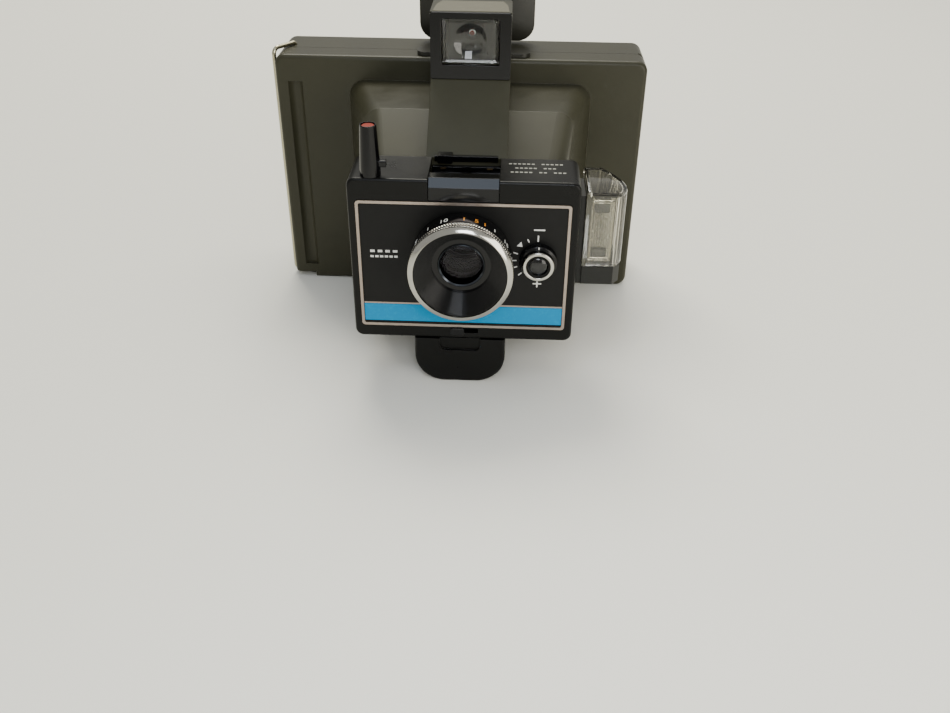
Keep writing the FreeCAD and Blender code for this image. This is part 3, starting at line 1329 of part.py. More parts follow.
def battery_box():
    """Fixed half of the battery bay: roof under the cone and cover, cradle walls and hinge ears."""
    body = new_body("battery_box", d.bay_x, 0, 0)
    roof = d.cell_height + d.cell_size / 2 + 0.3
    block = new_sketch(body, "side", -d.bay_half + 0.4)
    polygon(block, [(-d.bay_rear - 1, roof), (-d.bay_rear - 1, d.cone_low - 0.1),
                    (-d.shoulder_forward, d.cone_low - 0.1),
                    (-d.cover_rear + 0.2, d.neck_low - 0.2), (-d.cover_rear + 0.2, d.cover_low - 0.1),
                    (-d.bay_front + d.bay_wall + d.gap, d.cover_low - 0.1),
                    (-d.bay_front + d.bay_wall + d.gap, roof)])
    pad(body, block, 2 * (d.bay_half - 0.4))
    inner = d.bay_half - d.bay_wall - d.gap
    for side in (-1, 1):
        cradle = new_sketch(body, "top", roof)
        polygon(cradle, [(side * inner, -d.bay_front + d.bay_wall + 1.2),
                         (side * (inner - 1.2), -d.bay_front + d.bay_wall + 1.2),
                         (side * (inner - 1.2), -cell_rear), (side * inner, -cell_rear)])
        pad(body, cradle, roof - d.bay_corner - 0.4, reverse=True)
        ear = new_sketch(body, "side", side * ear_x - ear_half)
        polygon(ear, [(-d.bay_pivot_forward - 2.4, d.bay_pivot_height - 2.4),
                      (-d.bay_pivot_forward + 1.5, d.bay_pivot_height - 2.4),
                      (-d.bay_pivot_forward + 1.5, roof + 0.5), (-d.bay_pivot_forward - 2.4, roof + 0.5)])
        pad(body, ear, 2 * ear_half)
    bore = new_sketch(body, "side", -d.bay_half)
    circle(bore, -d.bay_pivot_forward, d.bay_pivot_height, d.hinge_pin_radius + d.running)
    cut(body, bore, 2 * d.bay_half)
    return body


def battery_cover():
    """Round-bottomed trough under the cells, hinged at its rear, with a finger recess in its front."""
    body = new_body("battery_cover", d.bay_x, 0, 0)
    rear_top = d.bay_pivot_height - d.bay_swing
    low_section = new_sketch(body, "front", d.bay_rear)
    rounded_box(low_section, -d.bay_half, d.bay_half, 0, d.lip_high + 12, d.bay_corner)
    pad(body, low_section, d.bay_front - d.bay_rear)
    round_edges(body, 1.5, on_plane("Y", -d.bay_front))
    inside = new_sketch(body, "front", d.bay_rear + d.bay_wall)
    rounded_box(inside, -d.bay_half + d.bay_wall, d.bay_half - d.bay_wall, d.bay_wall * 0.8, d.lip_high + 13,
                d.bay_corner - d.bay_wall)
    cut(body, inside, d.bay_front - d.bay_rear - 2 * d.bay_wall)
    over = new_sketch(body, "side", -d.bay_half - 1)
    polygon(over, [(-d.bay_front - 1, d.lip_high), (-d.bay_front + d.bay_wall, d.lip_high),
                   (-d.bay_front + d.bay_wall, d.cover_rim), (-d.bay_pivot_forward + 1, d.cover_rim),
                   (-d.bay_rear, rear_top), (-d.bay_rear + 1, rear_top),
                   (-d.bay_rear + 1, d.lip_high + 14), (-d.bay_front - 1, d.lip_high + 14)])
    cut(body, over, 2 * d.bay_half + 2)
    swing_room = new_sketch(body, "side", -d.bay_half + d.bay_wall)
    polygon(swing_room, [(-d.bay_rear - d.bay_wall - 0.1, rear_top), (-d.bay_rear + 1, rear_top),
                         (-d.bay_rear + 1, d.cover_rim + 1),
                         (-d.bay_rear - d.bay_wall - 0.1, d.cover_rim + 1)])
    cut(body, swing_room, 2 * (d.bay_half - d.bay_wall))
    recess_sketch = new_sketch(body, "front", d.bay_front)
    rounded_box(recess_sketch, -9, 9, d.lip_high - 6, d.lip_high + 3, 2.5)
    cut(body, recess_sketch, d.bay_wall * 0.6, reverse=True)
    bore = new_sketch(body, "side", -d.bay_half - 1)
    circle(bore, -d.bay_pivot_forward, d.bay_pivot_height, d.hinge_pin_radius)
    cut(body, bore, 2 * d.bay_half + 2)
    return body


def battery_cell(label, side):
    """Cylindrical cell with its raised cap."""
    radius = d.cell_size / 2
    body = turned(label, [(0, 0), (radius, 0), (radius, d.cell_long - 1.6),
                          (radius - 1, d.cell_long - 1.2), (2.7, d.cell_long - 1.2),
                          (2.7, d.cell_long), (0, d.cell_long)],
                  d.bay_x + side * d.cell_pitch / 2, -cell_rear - 0.05, d.cell_height, FORWARD)
    return body


def battery_contacts():
    """Contact plates at both ends of the cells."""
    body = new_body("battery_contacts", d.bay_x, 0, 0)
    for forward in (cell_rear - 0.65, cell_rear + d.cell_long + 0.15):
        for side in (-1, 1):
            leaf = new_sketch(body, "front", forward)
            x = side * d.cell_pitch / 2
            polygon(leaf, [(x - 4.5, d.cell_height - 4.5), (x + 4.5, d.cell_height - 4.5),
                           (x + 4.5, d.cell_height + d.cell_size / 2 + 0.3),
                           (x - 4.5, d.cell_height + d.cell_size / 2 + 0.3)])
            pad(body, leaf, 0.6)
            doc.recompute()
    return body


# ---- assembly -------------------------------------------------------------------------------------

body_shell()
film_gate()
rear_door()
pressure_springs()
latch_bail()
cylinder("door_hinge_pin", d.hinge_pin_radius, d.back_height - 2 * d.hinge_inset,
         hinge_x, hinge_back, d.hinge_inset)
roller_frame()
roller("front_roller", -1)
roller("rear_roller", 1)
front_cover()
front_panel()
panel_frame()
panel_stripe()
shutter_plate()
screws("cover_screws", boss_places, d.screw_radius, d.screw_length, d.head_radius, d.head_thick,
       d.cover_rear)
lens_barrel()
focus_collar()
grip_ring()
lens_element("front_lens", throat_forward - 4.6, throat_forward - 0.9, 1.1)
ring("lens_retainer", glass, stop, throat_forward - 0.8, throat_forward)
lens_element("middle_lens", d.barrel_rear + 6, d.barrel_rear + 8.4, -0.8)
ring("lens_spacer", glass, stop, d.barrel_rear + 8.4, sleeve_rear - 3)
lens_element("rear_lens", d.barrel_rear + 1, d.barrel_rear + 4, 0.9)
ring("rear_retainer", glass, stop, d.barrel_rear, d.barrel_rear + 0.9)
blade("opening_blade", blade_pivots[0], 0.3, 1)
blade("closing_blade", blade_pivots[1], 1, -1)
release_lever()
circuit_board()
shutter_magnet()
cell_tube()
cell_window()
photocell()
exposure_dial()
dial_trim()
release_tower()
release_button()
release_spring()
film_selector()
flash_socket()
flash_turret()
flash_contacts()
eject_lever()
flash_holder()
flash_reflector()
flash_shield()
viewfinder_housing()
finder_mask()
finder_front_lens()
finder_eye_lens()
eyecup()
finder_saddle()
battery_box()
battery_cover()
cylinder("battery_cover_pin", d.hinge_pin_radius, 2 * d.bay_half - 0.4, d.bay_x - d.bay_half + 0.2,
         -d.bay_pivot_forward, d.bay_pivot_height, SIDEWAYS)
battery_cell("battery_left", -1)
battery_cell("battery_right", 1)
battery_contacts()

doc.recompute()

for thing in doc.Objects:
    if "Invalid" in thing.State or "Error" in thing.State:
        raise RuntimeError(f"{thing.Label} failed: {thing.State}")
for node in nodes:
    if node.Shape.isNull() or not node.Shape.isValid() or node.Shape.Volume <= 0:
        raise RuntimeError(f"{node.Label} has no valid shape")

os.makedirs("parts", exist_ok=True)
for node in nodes:
    node.Shape.exportStep(f"parts/{node.Label}.step")
    print(f"{node.Label}: {len(node.Shape.Solids)} solid(s), {node.Shape.Volume / 1000:.2f} cm3")
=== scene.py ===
# %% [markdown]
# # An instant camera, piece by piece
# The engineering model of this camera (its walls, hinges and moving parts) is loaded as a fixed frame.
# Blender then gives every part its finish, and builds the parts whose look depends on fine shape:
# the knurled grip, the ridged funnel, the glass, the fluted shield, the printed marks.
# Each step explains what the real piece is before it makes it.

# %% Load the frame
import math

import bmesh
import bpy
from mathutils import Matrix, Vector


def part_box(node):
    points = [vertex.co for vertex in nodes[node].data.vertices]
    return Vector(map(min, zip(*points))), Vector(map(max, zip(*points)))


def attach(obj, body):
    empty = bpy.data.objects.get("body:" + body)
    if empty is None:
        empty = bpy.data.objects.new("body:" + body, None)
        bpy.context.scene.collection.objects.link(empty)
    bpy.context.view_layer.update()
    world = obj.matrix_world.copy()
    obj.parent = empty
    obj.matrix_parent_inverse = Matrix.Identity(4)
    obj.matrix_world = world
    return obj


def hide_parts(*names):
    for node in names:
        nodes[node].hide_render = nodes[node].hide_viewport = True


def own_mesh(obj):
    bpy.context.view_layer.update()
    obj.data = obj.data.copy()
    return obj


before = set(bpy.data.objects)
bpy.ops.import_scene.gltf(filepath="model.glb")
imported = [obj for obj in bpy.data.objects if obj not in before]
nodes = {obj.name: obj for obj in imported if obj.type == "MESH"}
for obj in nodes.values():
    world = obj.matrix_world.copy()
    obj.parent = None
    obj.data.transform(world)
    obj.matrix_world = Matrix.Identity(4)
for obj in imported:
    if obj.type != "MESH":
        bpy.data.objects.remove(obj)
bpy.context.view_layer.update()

# %% [markdown]
# ## Units and places
# Blender works in metres and the camera is the size of a book, so lengths are written in millimetres and
# multiplied by one named value when they reach Blender. Places are not typed in but read from the frame,
# so that a piece still fits if the part it covers is moved. The lens looks along -Y: a place in front of
# another has a lower Y, and `forward` below always means -Y.

# %% Units and places
mm = 0.001


def box(part):
    """Low and high corner of a part's box, in mm."""
    return [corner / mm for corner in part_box(part)]


def middle(part):
    """Centre of a part's box, in mm."""
    low, high = box(part)
    return (low + high) / 2


def turned_size(part):
    """Front, rear and radius, in mm, of a part that is turned about the direction of the lens."""
    low, high = box(part)
    return -low.y, -high.y, (high.x - low.x) / 2


lens_axis = middle("lens_barrel")
dial_axis = middle("exposure_dial")
panel_face = box("front_panel")[0].y
print("lens axis at", [round(v, 1) for v in lens_axis], "mm; panel face at", round(panel_face, 1), "mm")

# %% [markdown]
# ## The viewer
# A lens of 36 mm on a full-frame sensor shows the camera from a little above, as someone leaning over
# a table sees it. The viewpoint is a place, a downward pitch, a slight turn to the left and a slight
# tilt. A camera looks along its own -Z, so the three axes of its matrix are right, up and backwards.

# %% The viewer
def look(place, pitch, turn, tilt, lens):
    """Camera at a place in mm, looking down by pitch, turned right by turn, rolled by tilt (degrees)."""
    pitch, turn, tilt = (math.radians(a) for a in (pitch, turn, tilt))
    ahead = Vector((math.sin(turn) * math.cos(pitch), math.cos(turn) * math.cos(pitch), -math.sin(pitch)))
    right = Vector((math.cos(turn), -math.sin(turn), 0))
    up = right.cross(ahead)
    rolled_right = math.cos(tilt) * right + math.sin(tilt) * up
    rolled_up = math.cos(tilt) * up - math.sin(tilt) * right
    axes = Matrix((rolled_right, rolled_up, -ahead)).transposed().to_4x4()
    data = bpy.data.cameras.new("viewer")
    data.lens = lens
    viewer = bpy.data.objects.new("viewer", data)
    viewer.matrix_world = Matrix.Translation(place * mm) @ axes
    bpy.context.scene.collection.objects.link(viewer)
    return viewer


viewer = look(Vector((18.8, -458.5, 248.4)), pitch=33.47, turn=-2.09, tilt=0.62, lens=35.79)
bpy.context.scene.camera = viewer
print("viewer at", [round(v, 3) for v in viewer.location])

# %% [markdown]
# ## Colour
# Colours are written as sRGB hex values, as they are picked from a sample. Shaders work in linear
# light, so one function undoes the sRGB curve.

# %% Colour
def linear(hex_colour):
    """sRGB hex such as "#3c3b30" as a linear RGBA colour."""
    channels = [int(hex_colour[i:i + 2], 16) / 255 for i in (1, 3, 5)]
    return [c / 12.92 if c <= 0.04045 else ((c + 0.055) / 1.055) ** 2.4 for c in channels] + [1.0]


print("mid grey in linear light:", [round(c, 3) for c in linear("#808080")[:3]])

# %% [markdown]
# ## Shader nodes
# A material is a small network of nodes. One function adds a node with its settings and its links, and
# the same function serves for every kind of node. A value that is the same all over a surface is set
# straight on the Principled shader, and only patterns are linked into it.

# %% Shader nodes
def connect(material, node, links):
    """Link the inputs of a node: input -> (other node, output)."""
    for name, (source, output) in links.items():
        material.node_tree.links.new(source.outputs[output], node.inputs[name])


def add(material, kind, settings=None, links=None):
    """Add a node. settings: property or input values; links: input -> (other node, output)."""
    node = material.node_tree.nodes.new("ShaderNode" + kind)
    for name, value in (settings or {}).items():
        if isinstance(name, str) and hasattr(node, name):
            setattr(node, name, value)
        else:
            node.inputs[name].default_value = value
    connect(material, node, links or {})
    return node


def finish(name, colour, roughness, metallic=0.0, **sockets):
    """New material: its Principled shader with plain values, ready for patterns."""
    material = bpy.data.materials.new(name)
    material.use_nodes = True
    shader = material.node_tree.nodes["Principled BSDF"]
    shader.inputs["Base Color"].default_value = linear(colour)
    shader.inputs["Roughness"].default_value = roughness
    shader.inputs["Metallic"].default_value = metallic
    for socket, value in sockets.items():
        shader.inputs[socket.replace("_", " ")].default_value = value
    return material, shader


# %% [markdown]
# ## Moulded plastic
# Almost everything here is injection-moulded ABS or polystyrene. The mould was spark-eroded, which
# leaves a grain of about half a millimetre, and years of hands have polished it unevenly, in patches as
# wide as a thumb: the colour barely changes, the gloss does. Two noises do this. A fine one drives the
# bump, a broad one drives roughness and a slight change of tone. A mould also leaves no sharp edge, so
# a bevel in the shader rounds each one. ABS has an index of refraction of about 1.54.

# %% Moulded plastic
thumb_mm = 18.0
moulded_edge_mm = 0.35


def moulded(name, colour, worn_colour, roughness, grain_mm, grain_depth_mm, shine, rough_range=0.12):
    """Moulded plastic: spark-eroded grain, uneven gloss, slight change of tone, softly rounded edges."""
    material, shader = finish(name, colour, roughness, IOR=1.54, Specular_IOR_Level=shine)
    where = add(material, "TexCoord")
    grain = add(material, "TexNoise", {"Scale": 1 / (grain_mm * mm), "Detail": 3.0, "Roughness": 0.6},
                {"Vector": (where, "Object")})
    patches = add(material, "TexNoise", {"Scale": 1 / (thumb_mm * mm), "Detail": 4.0, "Roughness": 0.65},
                  {"Vector": (where, "Object")})
    tone = add(material, "Mix", {"data_type": "RGBA", 6: linear(colour), 7: linear(worn_colour)},
               {0: (patches, "Fac")})
    gloss = add(material, "MapRange",
                {"From Min": 0.3, "From Max": 0.7, "To Min": roughness - rough_range / 2,
                 "To Max": roughness + rough_range / 2}, {"Value": (patches, "Fac")})
    edge = add(material, "Bevel", {"samples": 6, "Radius": moulded_edge_mm * mm})
    bump = add(material, "Bump", {"Strength": 0.6, "Distance": grain_depth_mm * mm},
               {"Height": (grain, "Fac"), "Normal": (edge, "Normal")})
    connect(material, shader, {"Base Color": (tone, 2), "Roughness": (gloss, "Result"),
                               "Normal": (bump, "Normal")})
    return material


grained_abs = moulded("grained_abs_warm_grey", "#2e2d21", "#373628", 0.36, 0.55, 0.05, 0.2)
satin_abs = moulded("satin_black_abs", "#060605", "#0a0a08", 0.32, 0.40, 0.012, 0.15)
gloss_styrene = moulded("gloss_black_styrene", "#030304", "#060607", 0.12, 1.6, 0.006, 0.25, 0.06)
matt_abs = moulded("matt_black_abs", "#050505", "#090908", 0.5, 0.35, 0.03, 0.2)
holder_abs = moulded("holder_grey_abs", "#080907", "#0e0f0c", 0.42, 0.5, 0.03, 0.3)
soft_vinyl = moulded("soft_black_vinyl", "#1d1d16", "#25241c", 0.40, 0.8, 0.02, 0.35)
plastics = [grained_abs, satin_abs, gloss_styrene, matt_abs, holder_abs, soft_vinyl]
print("plastics:", [m.name for m in plastics])

# %% [markdown]
# ## Metals
# The bright trim is chromium-plated: almost a mirror, with faint lines left by the polishing wheel. The
# wire bail and the pins are bare drawn steel, with scratches along the wire. Inside, pressed steel is
# dull and slightly uneven. The frame around the panel is anodised aluminium foil, the flash's reflector
# satin aluminium. The rings that hold the glass are steel blackened in a hot bath, a dark grey with a
# cold blue cast. A metal's colour is its reflection, so base colours are light except for that one.
# In all of them the lines are one noise, stretched along the direction in which the metal was worked.

# %% Metals
blotch_mm = 6.0


def metal(name, colour, dark_colour, roughness, line_mm, stretch, depth_mm=0.01):
    """Metal with fine lines: stretch is how much longer they are along X, Y and Z."""
    material, shader = finish(name, colour, roughness, metallic=1.0)
    where = add(material, "TexCoord")
    size = add(material, "Mapping", {"Scale": [1 / s for s in stretch]}, {"Vector": (where, "Object")})
    lines = add(material, "TexNoise", {"Scale": 1 / (line_mm * mm), "Detail": 4.0, "Roughness": 0.7},
                {"Vector": (size, "Vector")})
    blotches = add(material, "TexNoise", {"Scale": 1 / (blotch_mm * mm), "Detail": 3.0},
                   {"Vector": (where, "Object")})
    tone = add(material, "Mix", {"data_type": "RGBA", 6: linear(colour), 7: linear(dark_colour)},
               {0: (blotches, "Fac")})
    gloss = add(material, "MapRange", {"From Min": 0.25, "From Max": 0.75, "To Min": roughness * 0.7,
                                       "To Max": roughness * 1.4}, {"Value": (lines, "Fac")})
    bump = add(material, "Bump", {"Strength": 0.4, "Distance": depth_mm * mm}, {"Height": (lines, "Fac")})
    connect(material, shader, {"Base Color": (tone, 2), "Roughness": (gloss, "Result"),
                               "Normal": (bump, "Normal")})
    return material


chrome = metal("polished_chrome", "#bdbbb4", "#aaa8a1", 0.12, 0.8, (1, 1, 1), 0.004)
drawn_steel = metal("drawn_steel_wire", "#b9b49c", "#a09b82", 0.24, 0.25, (1, 1, 12))
pressed_steel = metal("pressed_steel", "#8f8f8c", "#7a7a77", 0.38, 0.4, (6, 1, 1))
trim_foil = metal("anodised_aluminium_trim", "#ab9f96", "#968a81", 0.30, 0.3, (8, 1, 1), 0.003)
satin_aluminium = metal("satin_aluminium", "#9a9a96", "#868682", 0.24, 0.3, (1, 1, 8), 0.003)
blackened_steel = metal("blackened_steel", "#4d5157", "#3d4146", 0.16, 0.3, (1, 1, 1), 0.002)
spring_brass = metal("spring_brass", "#b99552", "#a4813f", 0.30, 0.4, (6, 1, 1))
metals = [chrome, drawn_steel, pressed_steel, trim_foil, satin_aluminium, blackened_steel, spring_brass]
print("metals:", [m.name for m in metals])

# %% [markdown]
# ## Glass and clear plastic
# Crown glass has an index of 1.52, but its coating cuts each reflection to about a fourth, as if the
# index were 1.22, and leaves it faintly violet. The finder's block is clear acrylic (about 1.49), the
# shield clear styrene (about 1.56). Decades of light have turned the shield slightly yellow, most where
# it is thick, so the colour is in the material and not on its surface. Dust makes small dull specks, and
# a moulded wall is never quite flat: slow ripples bend what is seen through it.

# %% Glass and clear plastic
dust_mm = 2.5


def clear(name, colour, roughness, ior, haze_range, waviness_mm=0.0, wave_size_mm=6.0):
    """Transparent material; waviness is the height of the slow ripples that moulding leaves."""
    material, shader = finish(name, colour, roughness, IOR=ior, Transmission_Weight=1.0)
    where = add(material, "TexCoord")
    dust = add(material, "TexNoise", {"Scale": 1 / (dust_mm * mm), "Detail": 5.0, "Roughness": 0.7},
               {"Vector": (where, "Object")})
    haze = add(material, "MapRange", {"From Min": 0.45, "From Max": 0.75, "To Min": roughness,
                                      "To Max": roughness + haze_range}, {"Value": (dust, "Fac")})
    connect(material, shader, {"Roughness": (haze, "Result")})
    if waviness_mm:
        ripple = add(material, "TexNoise", {"Scale": 1 / (wave_size_mm * mm), "Detail": 1.0},
                     {"Vector": (where, "Object")})
        bump = add(material, "Bump", {"Strength": 0.5, "Distance": waviness_mm * mm},
                   {"Height": (ripple, "Fac")})
        connect(material, shader, {"Normal": (bump, "Normal")})
    return material


coated_glass = clear("coated_crown_glass", "#f4f1fb", 0.0, 1.22, 0.01)
yellowed_styrene = clear("yellowed_clear_styrene", "#f5f2e6", 0.04, 1.56, 0.05, 0.10, 5.0)
clear_acrylic = clear("clear_acrylic", "#f3f4ee", 0.01, 1.49, 0.03, 0.02, 8.0)
smoked_acrylic = clear("smoked_acrylic", "#62666a", 0.0, 1.49, 0.01)
print("clear:", [m.name for m in (coated_glass, yellowed_styrene, clear_acrylic, smoked_acrylic)])

# %% [markdown]
# ## Inks and small finishes
# The stripe is a strip of screen-printed film. The marks are hot-stamped ink, white, orange or worn to
# grey, and slightly chipped. The button's head is a red cap, the timing board brown phenolic paper, the
# coil enamelled copper wire, and each cell has a printed film sleeve. A pale cream patch on the finder's
# top is painted reflection, standing for the bright wall mirrored in its glossy top. All are one flat
# colour with specks of wear, so one function makes them, with the specks' size.

# %% Inks and small finishes
def ink(name, colour, worn_colour, roughness, chip_mm=0.8, shine=0.5):
    """Flat printed or painted colour with small worn specks."""
    material, shader = finish(name, colour, roughness, Specular_IOR_Level=shine)
    where = add(material, "TexCoord")
    specks = add(material, "TexNoise", {"Scale": 1 / (chip_mm * mm), "Detail": 5.0, "Roughness": 0.75},
                 {"Vector": (where, "Object")})
    wear = add(material, "MapRange", {"From Min": 0.52, "From Max": 0.72}, {"Value": (specks, "Fac")})
    tone = add(material, "Mix", {"data_type": "RGBA", 6: linear(colour), 7: linear(worn_colour)},
               {0: (wear, "Result")})
    bump = add(material, "Bump", {"Strength": 0.3, "Distance": 0.01 * mm}, {"Height": (specks, "Fac")})
    connect(material, shader, {"Base Color": (tone, 2), "Normal": (bump, "Normal")})
    return material


stripe_ink = ink("screen_printed_blue_film", "#007cab", "#0089b3", 0.5, 2.0, 0.1)
white_ink = ink("hot_stamped_white_ink", "#d9d9d4", "#b4b4b0", 0.5)
grey_ink = ink("worn_grey_ink", "#96968c", "#6f6f66", 0.5)
orange_ink = ink("hot_stamped_orange_ink", "#d98a25", "#b5772a", 0.5)
red_cap = ink("red_moulded_cap", "#8a2310", "#701c0c", 0.45, 1.2, 0.2)
phenolic_board = ink("phenolic_paper_board", "#7a5230", "#6a4526", 0.5, 1.5)
copper_wire = ink("enamelled_copper_wire", "#8e4a22", "#6f3517", 0.35, 0.5)
cell_sleeve = ink("printed_cell_sleeve", "#2b2d33", "#3a3c42", 0.3, 2.0)
# painted reflection: a pale cream standing for the bright wall mirrored in the finder's glossy top
wall_reflection_paint = ink("painted_wall_reflection", "#56523f", "#625e4a", 0.4, 4.0)
grey_moulding = ink("dark_grey_moulding", "#3b3d3c", "#474947", 0.5, 1.0)
inks = [stripe_ink, white_ink, grey_ink, orange_ink, red_cap, phenolic_board, copper_wire, cell_sleeve,
        wall_reflection_paint, grey_moulding]
print("inks:", [m.name for m in inks])

# %% [markdown]
# ## A finish for every part of the frame
# The frame's own parts keep their exact shape and only get a material. The table says which finish goes
# on which parts, and the print names any part that was forgotten.

# %% A finish for every part of the frame
finishes = {
    grained_abs: ["body_shell", "rear_door", "viewfinder_housing"],
    satin_abs: ["front_cover", "battery_cover", "focus_collar", "lens_barrel", "exposure_dial", "cell_tube"],
    matt_abs: ["front_panel", "battery_box", "film_gate", "opening_blade", "closing_blade", "photocell"],
    gloss_styrene: ["flash_socket", "finder_mask", "release_tower", "flash_turret", "eject_lever",
                    "film_selector"],
    soft_vinyl: ["eyecup", "finder_saddle"],
    holder_abs: ["flash_holder"],
    drawn_steel: ["latch_bail", "door_hinge_pin", "battery_cover_pin", "release_spring"],
    pressed_steel: ["roller_frame", "front_roller", "rear_roller", "cover_screws", "pressure_springs",
                    "release_lever"],
    chrome: ["grip_ring", "dial_trim"],
    trim_foil: ["panel_frame"],
    satin_aluminium: ["flash_reflector"],
    blackened_steel: ["lens_retainer", "lens_spacer", "rear_retainer", "shutter_plate"],
    stripe_ink: ["panel_stripe"],
    coated_glass: ["front_lens", "middle_lens", "rear_lens", "finder_eye_lens"],
    smoked_acrylic: ["cell_window"],
    clear_acrylic: ["finder_front_lens"],
    yellowed_styrene: ["flash_shield"],
    red_cap: ["release_button"],
    spring_brass: ["flash_contacts", "battery_contacts"],
    phenolic_board: ["circuit_board"],
    copper_wire: ["shutter_magnet"],
    cell_sleeve: ["battery_left", "battery_right"],
}
for material, parts in finishes.items():
    for part in parts:
        nodes[part].data.materials.clear()
        nodes[part].data.materials.append(material)
forgotten = sorted(set(nodes) - {part for parts in finishes.values() for part in parts})
print("parts without a finish:", forgotten)

# %% [markdown]
# ## From rings to a piece
# Every detailed piece is a skin over rings of points: two neighbouring rings are joined with quads. This
# gives clean faces and full control of each edge, where modifiers would have to be tuned by eye. One
# function builds the skin, and one turns it into a piece: it closes the seams, points the faces
# outwards, keeps the edges sharper than an angle, and says which body the piece rides on and which parts
# of the frame it stands for.

# %% From rings to a piece
seam = 0.002


def skin(builder, rings, caps=False):
    """Join rings of points, in mm, with quads."""
    made = [[builder.verts.new(Vector(p) * mm) for p in ring] for ring in rings]
    count = len(made[0])
    for first, second in zip(made, made[1:]):
        for k in range(count):
            following = (k + 1) % count
            builder.faces.new((first[k], first[following], second[following], second[k]))
    if caps:
        builder.faces.new(made[0])
        builder.faces.new(made[-1])


def install(name, builder, material, body, sharp=35, replaced=()):
    """Turn a bmesh into a piece: outward normals, finish, body, and the parts it stands for."""
    bmesh.ops.remove_doubles(builder, verts=builder.verts, dist=seam * mm)
    bmesh.ops.recalc_face_normals(builder, faces=builder.faces)
    mesh = bpy.data.meshes.new(name)
    builder.to_mesh(mesh)
    builder.free()
    mesh.materials.append(material)
    mesh.shade_smooth()
    mesh.set_sharp_from_angle(angle=math.radians(sharp))
    piece = bpy.data.objects.new(name, mesh)
    bpy.context.scene.collection.objects.link(piece)
    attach(piece, body)
    for part in replaced:
        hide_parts(part)
    return piece


# %% [markdown]
# ## Turned pieces
# Round pieces are turned as on a lathe: a half outline is carried round an axis, ring by ring. A spin
# modifier would do the same for a plain ring, but here the loop can also cut flutes as it goes, by
# drawing the widest stretch of the outline in and out.

# %% Turned pieces
def turned(name, outline, axis, material, body, steps=144, flutes=(0, 0, 0, 0), replaced=()):
    """Piece turned about the direction of the lens. outline: (radius, forward) in mm, closed.
    flutes: (count, depth, from, to) cut that many grooves into the widest stretch."""
    count, depth, start, end = flutes
    widest = max(radius for radius, forward in outline)
    rings = []
    for k in range(steps + 1):
        turn = 2 * math.pi * k / steps
        groove = depth * (0.5 - 0.5 * math.cos(count * turn))
        ring = []
        for radius, forward in outline:
            if radius > widest - 0.01 and start <= forward <= end:
                radius -= groove
            ring.append((axis.x + radius * math.sin(turn), -forward, axis.z + radius * math.cos(turn)))
        rings.append(ring)
    builder = bmesh.new()
    skin(builder, rings)
    return install(name, builder, material, body, replaced=replaced)


def arc(centre, radius, start, end, count=8):
    """Points of a round stretch of an outline, angles in degrees from +radius towards +forward."""
    angles = [math.radians(start + (end - start) * k / count) for k in range(count + 1)]
    return [(centre[0] + radius * math.cos(a), centre[1] + radius * math.sin(a)) for a in angles]


# %% [markdown]
# ## Flat marks
# Stamped ink stands a few hundredths of a millimetre proud. A texture could draw the marks, but thin
# solid shapes stay sharp from near by. Each is drawn flat as (u, v), and a small mapping function then
# lays it on a plane or wraps it round a cylinder, with h as the height above the surface.

# %% Flat marks
def printed(name, shapes, place, material, body, thickness=0.04):
    """Marks with a little thickness. shapes: outlines (u, v) in mm; place(u, v, h) gives a point in mm."""
    builder = bmesh.new()
    for shape in shapes:
        low, high = ([builder.verts.new(Vector(place(u, v, h)) * mm) for u, v in shape]
                     for h in (0, thickness))
        builder.faces.new(low)
        builder.faces.new(high)
        for k in range(len(shape)):
            following = (k + 1) % len(shape)
            builder.faces.new((low[k], low[following], high[following], high[k]))
    return install(name, builder, material, body)


def bar(u, v, wide, tall, turn=0.0):
    """Rectangle centred at (u, v), turned anticlockwise by an angle in degrees."""
    c, s = math.cos(math.radians(turn)), math.sin(math.radians(turn))
    corners = [(-wide / 2, -tall / 2), (wide / 2, -tall / 2), (wide / 2, tall / 2), (-wide / 2, tall / 2)]
    return [(u + c * x - s * y, v + s * x + c * y) for x, y in corners]


# %% [markdown]
# ## Knurled grip
# Fingers turn the lens by this ring. On the real camera it is a thin chromium-plated band: a fine
# straight knurl outside, then a narrow groove, then a broad polished bevel that faces forward and
# catches every lamp. The bevel is slightly crowned, so its highlights are soft at the ends. A texture
# could fake the knurl, but its outline would stay smooth, so the flutes are cut into the mesh.

# %% Knurled grip
grip_front, grip_rear, grip_radius = turned_size("grip_ring")
band, rows, row_pitch = 1.9, 8, 0.3
bevel_wide, bevel_deep, flute_count, flute_depth = 2.2, 1.3, 120, 0.32
outline = [(grip_radius - band, grip_rear), (grip_radius - 0.3, grip_rear)]
outline += [(grip_radius, grip_rear + 0.3 + row_pitch * k) for k in range(rows + 1)]
outline += [(grip_radius - 0.35, grip_rear + 2.9), (grip_radius - 0.15, grip_rear + 3.1)]
outline += [(grip_radius - 0.1 - bevel_wide * k / 8, grip_front - bevel_deep * (1 - k / 8) ** 1.4)
            for k in range(9)]
outline += [(grip_radius - 2.45, grip_front - 0.3), (grip_radius - 2.55, grip_front - 0.8),
            (grip_radius - band, grip_front - 0.9)]
turned("knurled_grip", outline, lens_axis, chrome, "focus_ring", steps=720,
       flutes=(flute_count, flute_depth, grip_rear + 0.5, grip_rear + 2.75), replaced=["grip_ring"])
print("grip:", round(grip_radius * 2, 1), "mm across,", flute_count, "flutes")

# %% [markdown]
# ## Collar and funnel
# Behind the grip is a black collar that carries the distance scale, and inside it a funnel with fine
# concentric ridges. The ridges keep stray light out of the lens: each one hides the next from the sun.
# They are a zigzag in the outline, so turning the outline makes them all. A sleeve behind the funnel
# runs inside the lens barrel, and the space between sleeve and collar is hollow so that the barrel's
# front end fits in it.

